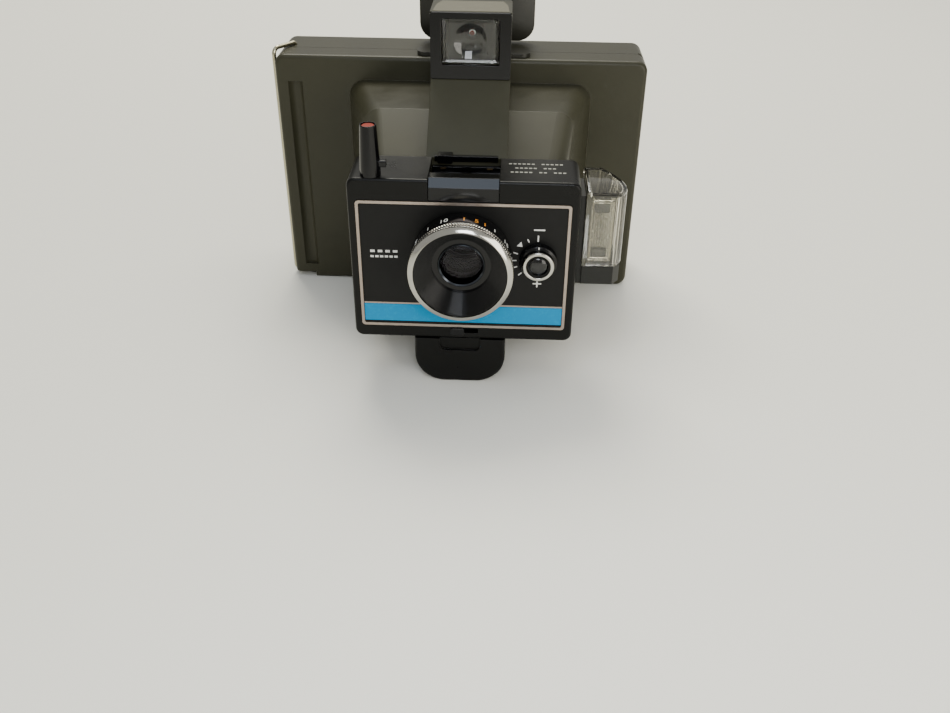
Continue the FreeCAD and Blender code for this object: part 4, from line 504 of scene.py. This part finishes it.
# %% Collar and funnel
collar_rear, collar_radius = grip_rear - 11.0, grip_radius - 0.5
sleeve_rear = turned_size("focus_collar")[1]
hollow_front = turned_size("lens_barrel")[0] + 0.3
sleeve_radius, hollow_radius, seat_radius, bore_radius = 12.6, 16.5, 9.85, 8.5
mouth, throat = (grip_radius - 2.6, grip_front - 0.9), (12.5, grip_front - 9.2)
ridges, ridge_height = 22, 0.22
inwards, forwards = 0.78, 0.62  # direction square to the funnel's wall
funnel = []
for k in range(2 * ridges + 1):
    share = k / (2 * ridges)
    raised = ridge_height if k % 2 else 0.0
    funnel.append((mouth[0] + share * (throat[0] - mouth[0]) - inwards * raised,
                   mouth[1] + share * (throat[1] - mouth[1]) + forwards * raised))
outline = [(sleeve_radius, sleeve_rear), (sleeve_radius, hollow_front), (hollow_radius, hollow_front),
           (hollow_radius, collar_rear), (collar_radius - 0.5, collar_rear)]
outline += arc((collar_radius - 0.5, collar_rear + 0.5), 0.5, -90, 0, 4)
outline += [(collar_radius, grip_rear - 0.35), (collar_radius - 0.3, grip_rear - 0.02),
            (grip_radius - 1.95, grip_rear - 0.02), (grip_radius - 1.95, grip_front - 0.95)]
outline += funnel
outline += [(throat[0], throat[1] - 0.8), (seat_radius, throat[1] - 0.8), (seat_radius, throat[1] - 4.6),
            (bore_radius, throat[1] - 4.6), (bore_radius, sleeve_rear)]
turned("ridged_collar", outline, lens_axis, gloss_styrene, "focus_ring", steps=160,
       replaced=["focus_collar"])
print("collar:", round(collar_radius * 2, 1), "mm across,", ridges, "ridges in the funnel")

# %% [markdown]
# ## Front lens and its ring
# The front element is a simple convex glass, polished to a sphere. A ball could be cut down to it, but
# the cut would leave uneven faces at the rim, so the curve is worked out instead: from half the width w
# and the bulge b, the sphere's radius is R = (w^2 + b^2) / 2b. A narrow blackened ring screws in front of
# the glass and holds it. Its inner edge is bevelled, and catches a thin line of light.

# %% Front lens and its ring
glass_front, glass_rear, glass_radius = turned_size("front_lens")
bulge, curve_steps = 2.2, 16
sphere = (glass_radius ** 2 + bulge ** 2) / (2 * bulge)
spread = math.asin(glass_radius / sphere) / curve_steps
outline = [(0, glass_rear), (glass_radius, glass_rear)]
outline += [(sphere * math.sin(spread * k), glass_front - sphere + sphere * math.cos(spread * k))
            for k in range(curve_steps, -1, -1)]
turned("front_element", outline, lens_axis, coated_glass, "focus_ring", steps=96,
       replaced=["front_lens"])
ring_front, ring_rear, ring_radius = turned_size("lens_retainer")
ring_bore, ring_bevel = ring_radius - 0.9, 0.5
outline = [(ring_bore, ring_rear), (ring_radius, ring_rear)]
outline += arc((ring_radius - 0.3, ring_front - 0.3), 0.3, 0, 90, 4)
outline += [(ring_bore, ring_front - ring_bevel)]
turned("retaining_ring", outline, lens_axis, blackened_steel, "focus_ring", steps=96,
       replaced=["lens_retainer"])
print("front lens: sphere of", round(sphere, 1), "mm")

# %% [markdown]
# ## Exposure dial
# A fingertip sets prints lighter or darker with this dial: a black fluted skirt under a bright rim.
# It turns round the window of the light cell. Like the grip it is turned with its flutes cut into the
# mesh; they are fewer, and a little deeper.

# %% Exposure dial
dial_bore = 5.1
_, skirt_rear, skirt_radius = turned_size("exposure_dial")
trim_front, _, trim_radius = turned_size("dial_trim")
outline = [(dial_bore, skirt_rear)]
outline += [(skirt_radius, skirt_rear + 0.3 * k) for k in range(8)]
outline += arc((skirt_radius - 0.7, skirt_rear + 2.6), 0.7, 0, 80, 6)
outline += [(trim_radius + 0.1, skirt_rear + 3.5), (trim_radius - 0.1, trim_front - 0.9),
            (dial_bore, trim_front - 0.9)]
turned("fluted_dial", outline, dial_axis, gloss_styrene, "exposure_control", steps=360,
       flutes=(45, 0.4, skirt_rear + 0.2, skirt_rear + 2.3), replaced=["exposure_dial"])
outline = [(dial_bore, trim_front - 0.88), (trim_radius, trim_front - 0.88), (trim_radius, trim_front - 0.7)]
outline += arc((trim_radius - 0.6, trim_front - 0.6), 0.6, 0, 90, 6)
outline += arc((dial_bore + 0.3, trim_front - 0.3), 0.3, 90, 180, 4)
turned("bright_dial_rim", outline, dial_axis, chrome, "exposure_control", steps=96,
       replaced=["dial_trim"])
print("dial:", round(skirt_radius * 2, 1), "mm across")

# %% [markdown]
# ## Window of the light cell
# A small dome of smoked acrylic gathers light from a wide angle for the cell behind it. It is a flat
# disc with an elliptical top, so its outline is a quarter of an ellipse.

# %% Window of the light cell
window_front, window_rear, window_radius = turned_size("cell_window")
dome_height = 1.6
outline = [(0, window_rear), (window_radius, window_rear)]
outline += [(window_radius * x, window_front - dome_height + dome_height * y)
            for x, y in arc((0, 0), 1, 0, 90, 15)]
turned("cell_dome", outline, dial_axis, smoked_acrylic, "camera_body", steps=72,
       replaced=["cell_window"])
print("window:", round(window_radius * 2, 1), "mm across")

# %% [markdown]
# ## Marks around the dial
# The panel's marks are hot-stamped in white. Ticks on the left of the dial show how far it is turned, a
# wedge marks its middle, a minus stands above it and a plus below. Each is placed by its distance and
# its angle from the dial's axis, as a compass would lay them out.

# %% Marks around the dial
def on_panel(u, v, h):
    """A point on the front panel: u to the right, v up, h towards the viewer."""
    return (u, panel_face - h, v)


def around(axis, radius, turn):
    """Panel point at a radius from an axis, turn in degrees clockwise from the top."""
    angle = math.radians(turn)
    return (axis.x + radius * math.sin(angle), axis.z + radius * math.cos(angle))


dial_marks = [bar(*around(dial_axis, 10.1, -2), 0.55, 2.8)]
for turn, length in ((-26, 1.6), (-72, 2.0), (-92, 1.8), (-110, 1.4), (-132, 1.9)):
    dial_marks.append(bar(*around(dial_axis, 10.0, turn), 0.5, length, -turn))
dial_marks.append([around(dial_axis, 9.1, -48), around(dial_axis, 11.2, -55), around(dial_axis, 11.2, -41)])
dial_marks.append(bar(*around(dial_axis, 14.0, 0), 4.6, 0.6))
plus_u, plus_v = around(dial_axis, 11.2, 180)
dial_marks += [bar(plus_u, plus_v, 3.6, 0.55), bar(plus_u, plus_v + 1.0, 0.55, 1.45),
               bar(plus_u, plus_v - 1.0, 0.55, 1.45)]
printed("dial_marks", dial_marks, on_panel, white_ink, "camera_body")
print("around the dial:", len(dial_marks), "marks")

# %% [markdown]
# ## Lines of print
# Words and names are left out. Short bars, one for each letter, stand where a line of print would be, so
# that the panel and the top of the cover are as busy as they should be. A thin bright rule closes the
# stripe at its top.

# %% Lines of print
def line_of_bars(u, v, words, wide, gap, tall):
    """Bars in place of a line of print, from the left end: words are numbers of letters."""
    bars = []
    for letters in words:
        for _ in range(letters):
            bars.append(bar(u + wide / 2, v, wide, tall))
            u += wide + gap
        u += 3.4 * gap
    return bars


cover_top = box("front_cover")[1].z


def on_cover_top(u, v, h):
    """A point on top of the front cover: u to the right, v backwards."""
    return (u, v, cover_top + h)


word_bars = line_of_bars(-38.9, 65.4, [4], 1.9, 1.3, 1.1) + line_of_bars(-38.9, 62.9, [6], 1.4, 0.62, 0.9)
printed("panel_print_bars", word_bars, on_panel, white_ink, "camera_body")
top_bars = []
for u, v, words in ((19.3, -93.0, (5, 2, 3)), (21.2, -88.6, (5, 3)), (18.5, -84.1, (6, 5))):
    top_bars += line_of_bars(u, v, words, 1.25, 0.65, 1.1)
printed("cover_print_bars", top_bars, on_cover_top, grey_ink, "camera_body")
stripe_low, stripe_high = box("panel_stripe")
rule = bar((stripe_low.x + stripe_high.x) / 2, stripe_high.z + 0.45, stripe_high.x - stripe_low.x, 0.7)
printed("stripe_rule", [rule], on_panel, trim_foil, "camera_body", thickness=0.12)
print("print:", len(word_bars), "bars on the panel,", len(top_bars), "on the cover")

# %% [markdown]
# ## Distance scale
# The distances on the collar are the only real characters. They come from Blender's own font as flat
# faces, and are raised and wrapped round the collar by the same kind of mapping as the bars. One of them
# and its two ticks are orange.

# %% Distance scale
scale_line = collar_rear + 7.6


def on_collar(turn):
    """Mapping that wraps marks round the collar at an angle clockwise from the top."""
    def place(u, v, h):
        angle = math.radians(turn) + u / collar_radius
        return (lens_axis.x + (collar_radius + h) * math.sin(angle), v - scale_line,
                lens_axis.z + (collar_radius + h) * math.cos(angle))
    return place


def digits(name, text, height, place, material, thickness=0.06):
    """Raised digits from Blender's own font."""
    curve = bpy.data.curves.new(name, "FONT")
    curve.body = text
    curve.size = height / 0.7
    curve.align_x = "CENTER"
    flat = bpy.data.objects.new(name + "_flat", curve)
    bpy.context.scene.collection.objects.link(flat)
    outline_mesh = bpy.data.meshes.new_from_object(flat)
    bpy.data.objects.remove(flat)
    builder = bmesh.new()
    builder.from_mesh(outline_mesh)
    bmesh.ops.remove_doubles(builder, verts=builder.verts, dist=1e-4)
    lower = list(builder.verts)
    raised = bmesh.ops.extrude_face_region(builder, geom=builder.faces[:], use_keep_orig=True)
    upper = [v for v in raised["geom"] if isinstance(v, bmesh.types.BMVert)]
    for vertices, height_above in ((lower, 0.0), (upper, thickness)):
        for vertex in vertices:
            vertex.co = Vector(place(vertex.co.x, vertex.co.y, height_above)) * mm
    return install(name, builder, material, "focus_ring")


distances = (("10", -20, white_ink), ("7", -62, white_ink), ("15", 60, white_ink), ("5", 17, orange_ink),
             ("25", 100, white_ink), ("50", 140, white_ink), ("4", -104, white_ink))
for text, turn, material in distances:
    digits("distance_" + text, text, 2.8, on_collar(turn), material)
ticks = {"white": (white_ink, (-40, -82, 40, 80, 120)), "orange": (orange_ink, (3, 27))}
for colour, (material, turns) in ticks.items():
    for number, turn in enumerate(turns):
        printed(f"scale_tick_{colour}_{number}", [bar(0, 1.2, 0.5, 2.4)], on_collar(turn), material,
                "focus_ring")
print("scale:", len(distances), "distances")

# %% [markdown]
# ## Dial pointer
# A white line on the dial's shoulder shows where it is set. It rides on the dial, not on the panel, and
# is thicker than the other marks because the shoulder under it is rounded.

# %% Dial pointer
def on_dial(u, v, h):
    """A point on the dial's shoulder, h towards the viewer."""
    return (u, -(skirt_rear + 3.3 + h), v)


pointer = bar(*around(dial_axis, (skirt_radius + trim_radius) / 2, 0), 0.5, 1.1)
printed("dial_pointer", [pointer], on_dial, white_ink, "exposure_control", thickness=0.15)
print("pointer at", [round(v, 1) for v in pointer[0]], "mm")

# %% [markdown]
# ## Flash shield
# The shield is one clear moulding that slides up off its holder. Its outer side is swept back, and
# fluted on the inside so that it scatters the light of the flash bulb. The sweep is a smooth curve
# through a few points, and the wall is that plan outline copied through rings: inside top, inside
# bottom, outside bottom, outside top with a rounded edge. One skin of real thickness refracts as the
# real wall does, which a single sheet would not.

# %% Flash shield
shield_low, shield_high = box("flash_shield")
side = shield_high.x - 0.6
swept = [(side - 3, shield_low.y), (side, shield_low.y + 4), (side + 0.6, shield_low.y + 10),
         (side - 1.2, shield_low.y + 17), (side - 4.5, shield_low.y + 23), (side - 8.5, shield_high.y)]


def smooth_path(points, per_span):
    """Catmull-Rom curve through points."""
    ends = [points[0]] + list(points) + [points[-1]]
    path = []
    for spans in zip(ends, ends[1:], ends[2:], ends[3:]):
        for k in range(per_span):
            s = k / per_span
            path.append(tuple(0.5 * (2 * b + (c - a) * s + (2 * a - 5 * b + 4 * c - d) * s ** 2
                                     + (3 * b - a - 3 * c + d) * s ** 3) for a, b, c, d in zip(*spans)))
    return path + [points[-1]]


def shield_ring(inset, height, flute=0.0):
    """Plan outline of the shield at a height, drawn in by an inset; flute is the inner grooves' depth."""
    left, rear, front = shield_low.x + inset, shield_high.y - inset, shield_low.y + inset
    path = []
    for number, (x, y) in enumerate(smooth_path(swept, 16)):
        drawn = inset + (flute if number % 4 < 2 else 0.0)
        path.append((max(x - drawn, left + 0.5), min(max(y, front), rear), height))
    return [(left, rear, height), (left, front, height)] + path


wall, flute, top = 1.7, 0.35, shield_high.z
builder = bmesh.new()
skin(builder, [shield_ring(wall + 0.6, top - wall), shield_ring(wall, top - wall - 0.5, flute),
               shield_ring(wall, shield_low.z, flute), shield_ring(0, shield_low.z),
               shield_ring(0, top - 1.3), shield_ring(0.25, top - 0.5), shield_ring(0.8, top - 0.1),
               shield_ring(1.5, top)], caps=True)
install("fluted_shield", builder, yellowed_styrene, "shield", sharp=25,
        replaced=["flash_shield"])
print("shield:", [round(v, 1) for v in shield_high - shield_low], "mm")

# %% [markdown]
# ## Frame inside the shield
# A rectangular rib stands on the inside of the shield's front wall and stiffens it. It shows as a
# lighter frame through the clear plastic. It starts a little inside the wall, so that the two mouldings
# meet without a gap.

# %% Frame inside the shield
rib_left, rib_right = shield_low.x + 2.4, side - 4.6
rib_bottom, rib_top = shield_low.z + 2.2, top - 4.0
rib_front, rib_rear, rib_wide = shield_low.y + wall - 0.05, shield_low.y + wall + 1.3, 0.8
section = ((rib_front, 0), (rib_rear, 0), (rib_rear, rib_wide), (rib_front, rib_wide), (rib_front, 0))
rings = [[(rib_left + grow, y, rib_bottom + grow), (rib_right - grow, y, rib_bottom + grow),
          (rib_right - grow, y, rib_top - grow), (rib_left + grow, y, rib_top - grow)] for y, grow in section]
builder = bmesh.new()
skin(builder, rings)
install("shield_inner_frame", builder, yellowed_styrene, "shield")
print("inner frame:", round(rib_right - rib_left, 1), "mm wide")

# %% [markdown]
# ## Reflector panel
# Behind the shield stands a bright pressed panel. Its face is ribbed, which spreads the light, and two
# dark windows and two small rivets sit on it. The ribs are a ripple in the plan outline, so one skin
# from bottom to top makes them all. It is aluminium, lightly satin.

# %% Reflector panel
reflector_low, reflector_high = box("flash_reflector")
ribs, rib_depth = 9, 0.25
reflector_wide = reflector_high.x - reflector_low.x
plan = []
for k in range(4 * ribs + 1):
    ripple = rib_depth * (0.5 - 0.5 * math.cos(math.pi * k / 2))
    plan.append((reflector_low.x + reflector_wide * k / (4 * ribs), reflector_low.y + ripple))
plan += [(reflector_high.x, reflector_high.y), (reflector_low.x, reflector_high.y)]
builder = bmesh.new()
skin(builder, [[(x, y, z) for x, y in plan] for z in (reflector_low.z, reflector_high.z)], caps=True)
install("ribbed_reflector", builder, satin_aluminium, "camera_body", sharp=50,
        replaced=["flash_reflector"])


def on_reflector(u, v, h):
    """A point in front of the reflector panel."""
    return (u, reflector_low.y - h, v)


window_u = (reflector_low.x + reflector_high.x) / 2 - 0.4
windows = [bar(window_u, reflector_high.z - 3.9, 5.8, 6.2), bar(window_u, reflector_low.z + 4.2, 5.8, 4.4)]
printed("reflector_windows", windows, on_reflector, grey_moulding, "camera_body",
        thickness=0.5)
rivets = [arc((window_u - 3.4, reflector_low.z + height), 0.5, 0, 330, 11) for height in (10.5, 14.5)]
printed("reflector_rivets", rivets, on_reflector, chrome, "camera_body", thickness=0.4)
print("reflector:", ribs, "ribs")

# %% [markdown]
# ## Finder
# Behind the clear front block of the finder a dark liner narrows towards the eye in rounded steps, and a
# small red aiming mark stands in its middle. The steps do what the funnel's ridges do: they keep side
# light away. The liner is a skin through rounded rectangles, each smaller and further back, and out
# again a little wider, so that its wall has a thickness.

# %% Finder
mask_low, mask_high = box("finder_mask")
finder_x = (mask_low.x + mask_high.x) / 2
sight = Vector((finder_x, 0, 138.0))


def rounded_square(centre, half_wide, half_tall, corner, y, steps=6):
    """Ring of places across the sight line."""
    ring = []
    for quarter, (sx, sz) in enumerate(((1, 1), (-1, 1), (-1, -1), (1, -1))):
        for k in range(steps + 1):
            a = math.radians(90 * quarter + 90 * k / steps)
            ring.append((centre.x + sx * (half_wide - corner) + corner * math.cos(a), y,
                         centre.z + sz * (half_tall - corner) + corner * math.sin(a)))
    return ring


# (Y, half width, half height) of each step, from the front to the eye
liner_steps = ((-44.8, 9.8, 8.2), (-43.6, 9.4, 7.6), (-43.6, 8.4, 6.6), (-38.0, 7.6, 6.2), (-38.0, 6.8, 5.4),
               (-31.0, 6.2, 5.0), (-31.0, 5.2, 4.2), (-22.0, 2.5, 2.3))
inner = [rounded_square(sight, half_wide, half_tall, 2.2, y) for y, half_wide, half_tall in liner_steps]
outer = [rounded_square(sight, half_wide + 0.5, half_tall + 0.5, 2.6, y)
         for y, half_wide, half_tall in reversed(liner_steps)]
builder = bmesh.new()
skin(builder, inner + outer + inner[:1])
install("finder_liner", builder, gloss_styrene, "camera_body")
turned("finder_red_mark", [(0, 23.0), (2.0, 23.0), (2.0, 23.5), (1.6, 23.8), (0, 23.8)], sight, red_cap,
       "camera_body", steps=32)
print("finder:", len(liner_steps), "liner steps")

# %% [markdown]
# ## Finder's front block
# The front of the finder is a thick block of clear acrylic. Its face has a bevel all round and a shallow
# round dish in the middle, which is the lens that makes the view small. Face and dish are one surface,
# so the block is a grid: each point sinks by whichever is deeper, bevel or dish.

# %% Finder's front block
block_low, block_high = box("finder_front_lens")
block_middle = (block_low.z + block_high.z) / 2
bevel_depth, bevel_width, dish_depth, dish_radius = 0.9, 1.6, 1.7, 7.6
cells = 48
rings = []
for row in range(cells + 1):
    z = block_low.z + (block_high.z - block_low.z) * row / cells
    face = []
    for column in range(cells + 1):
        x = block_low.x + (block_high.x - block_low.x) * column / cells
        border = min(x - block_low.x, block_high.x - x, z - block_low.z, block_high.z - z)
        from_middle = math.hypot(x - finder_x, z - block_middle)
        bevel = bevel_depth * (1 - border / bevel_width)
        dish = dish_depth * (1 - (from_middle / dish_radius) ** 2)
        face.append((x, block_low.y + max(bevel, dish, 0), z))
    rings.append(face + [(block_high.x, block_high.y, z), (block_low.x, block_high.y, z)])
builder = bmesh.new()
skin(builder, rings, caps=True)
install("finder_block", builder, clear_acrylic, "camera_body", sharp=20,
        replaced=["finder_front_lens"])
print("front block:", [round(v, 1) for v in block_high - block_low], "mm")

# %% [markdown]
# ## Painted reflection on the finder
# The finder's flat top is glossy and mirrors the bright wall; a pale cream patch painted on it stands
# for that reflection. It follows the housing, so it is widest in front and tapers backwards.

# %% Painted reflection on the finder
finder_top = box("viewfinder_housing")[1].z


def on_finder_top(u, v, h):
    """A point on the finder's flat top: u to the right, v backwards."""
    return (u, v, finder_top + h)


# the pale patch is painted reflection: it stands for the bright wall mirrored in the finder's glossy top
reflection_patch_edge = ((16.2, -48.2), (15.4, -37.0), (13.4, -30.0))
reflection_patch = [(finder_x + half, v) for half, v in reflection_patch_edge]
reflection_patch += [(finder_x - half, v) for half, v in reversed(reflection_patch_edge)]
printed("finder_top_painted_reflection", [reflection_patch], on_finder_top, wall_reflection_paint, "camera_body", thickness=0.15)
print("label:", round(2 * reflection_patch_edge[0][0], 1), "mm wide")

# %% [markdown]
# ## Eyecup
# The eyecup is a plate of soft vinyl, rounded all over, with a hole that widens towards the eye. A
# bevelled cube would need a hole cut into it and would shade badly round the cut. Rings that run from
# the hole out over the rim and back to the hole make one closed, even surface.

# %% Eyecup
cup_low, cup_high = box("eyecup")
cup_middle = middle("eyecup")
half_wide, half_tall = (cup_high.x - cup_low.x) / 2, (cup_high.z - cup_low.z) / 2
eye = middle("finder_eye_lens")
# as many points as the rim has, with its corners doubled in the same places
corner_turns = [math.radians(90 * quarter + 15 * k) for quarter in range(4) for k in range(7)]
hole = [[(eye.x + r * math.cos(a), y, eye.z + r * math.sin(a)) for a in corner_turns]
        for y, r in ((cup_low.y + 0.4, 6.5), (cup_high.y - 0.2, 8.2))]
# (inset, Y) of each ring over the rim
rim = ((0.9, cup_low.y), (0.25, cup_low.y + 0.35), (0, cup_low.y + 1.0), (0, cup_high.y - 1.1),
       (0.35, cup_high.y - 0.35), (1.2, cup_high.y), (3.2, cup_high.y), (3.6, cup_high.y - 0.5))
rim_rings = [rounded_square(cup_middle, half_wide - inset, half_tall - inset, 8 - inset, y) for inset, y in rim]
builder = bmesh.new()
skin(builder, [hole[0]] + rim_rings + [hole[1], hole[0]])
install("soft_eyecup", builder, soft_vinyl, "camera_body", replaced=["eyecup"])
print("eyecup:", round(2 * half_wide, 1), "by", round(2 * half_tall, 1), "mm")

# %% [markdown]
# ## Return spring
# Under the red cap a small coil of steel wire pushes the button up again. When the button goes down the
# coil does not follow it: its lower end rests on a shelf in the post, so it gets shorter. The wire is a
# ring swept along a helix.

# %% Return spring
spring_low, spring_high = box("release_spring")
centre = middle("release_spring")
wire_radius, turns, per_turn, stroke = 0.28, 5, 24, 4.0
coil_radius = (spring_high.x - spring_low.x) / 2 - wire_radius
full = spring_high.z - spring_low.z
climb = full - 2 * wire_radius
rings = []
for k in range(per_turn * turns + 1):
    angle = 2 * math.pi * k / per_turn
    height = spring_low.z + wire_radius + climb * k / (per_turn * turns)
    rings.append([(centre.x + (coil_radius + across) * math.cos(angle),
                   centre.y + (coil_radius + across) * math.sin(angle), height + up)
                  for across, up in arc((0, 0), wire_radius, 0, 315, 7)])
builder = bmesh.new()
skin(builder, rings, caps=True)
spring = install("return_spring", builder, drawn_steel, "camera_body", replaced=["release_spring"])
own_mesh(spring)
print("spring:", round(full, 1), "mm long, pressed to", round(full - stroke, 1), "mm")

# %% [markdown]
# ## Floor
# The camera stands on a wide sheet of pale paper. One big flat face is enough: it only has to catch the
# shadow and give the dark plastic something bright to reflect.

# %% Floor
paper, _ = finish("pale_paper", "#ecebe2", 0.7)
reach = 3
sheet = bpy.data.meshes.new("studio_floor")
sheet.from_pydata([(-reach, -reach, 0), (reach, -reach, 0), (reach, reach, 0), (-reach, reach, 0)], [],
                  [(0, 1, 2, 3)])
sheet.materials.append(paper)
floor = bpy.data.objects.new("studio_floor", sheet)
bpy.context.scene.collection.objects.link(floor)
print("floor:", 2 * reach, "m wide")

# %% [markdown]
# ## Light
# A soft studio: a small flash beside the viewer, which leaves sharp highlights on every polished edge, a
# cool ceiling panel, a low panel from the front right, a big overhead one a little behind, one that
# whitens the background, and a pale sky that fills the shadows. Each panel is a square area light; its
# size decides how soft its shadows are, and how wide its highlight on a shiny edge.

# %% Light
def panel_light(name, place, target, width, power, colour):
    """Square soft light that faces a target; places and width in metres, power in watts."""
    data = bpy.data.lights.new(name, "AREA")
    data.size = width
    data.energy = power
    data.color = linear(colour)[:3]
    lamp = bpy.data.objects.new(name, data)
    lamp.location = place
    lamp.rotation_euler = (Vector(target) - Vector(place)).to_track_quat("-Z", "Y").to_euler()
    bpy.context.scene.collection.objects.link(lamp)


panel_light("flash", (0.03, -0.47, 0.30), (0.01, 0, 0.07), 0.14, 0.75, "#f4f8ff")
panel_light("ceiling_panel", (-0.1, -0.5, 0.95), (0, 0, 0.08), 0.3, 1.3, "#dcebff")
panel_light("low_front_panel", (0.45, -0.6, 0.2), (0.06, 0, 0.08), 0.4, 2.6, "#fffaf0")
panel_light("overhead_panel", (0.35, 0.35, 0.95), (0, 0, 0.08), 0.7, 3, "#fffaf0")
panel_light("background_panel", (-0.2, 0.95, 1.5), (0, 0.55, 0), 0.9, 30, "#fffcee")
sky = bpy.data.worlds.new("soft_sky")
sky.use_nodes = True
sky_light = sky.node_tree.nodes["Background"]
sky_light.inputs["Color"].default_value = linear("#f6f5f0")
sky_light.inputs["Strength"].default_value = 0.6
bpy.context.scene.world = sky
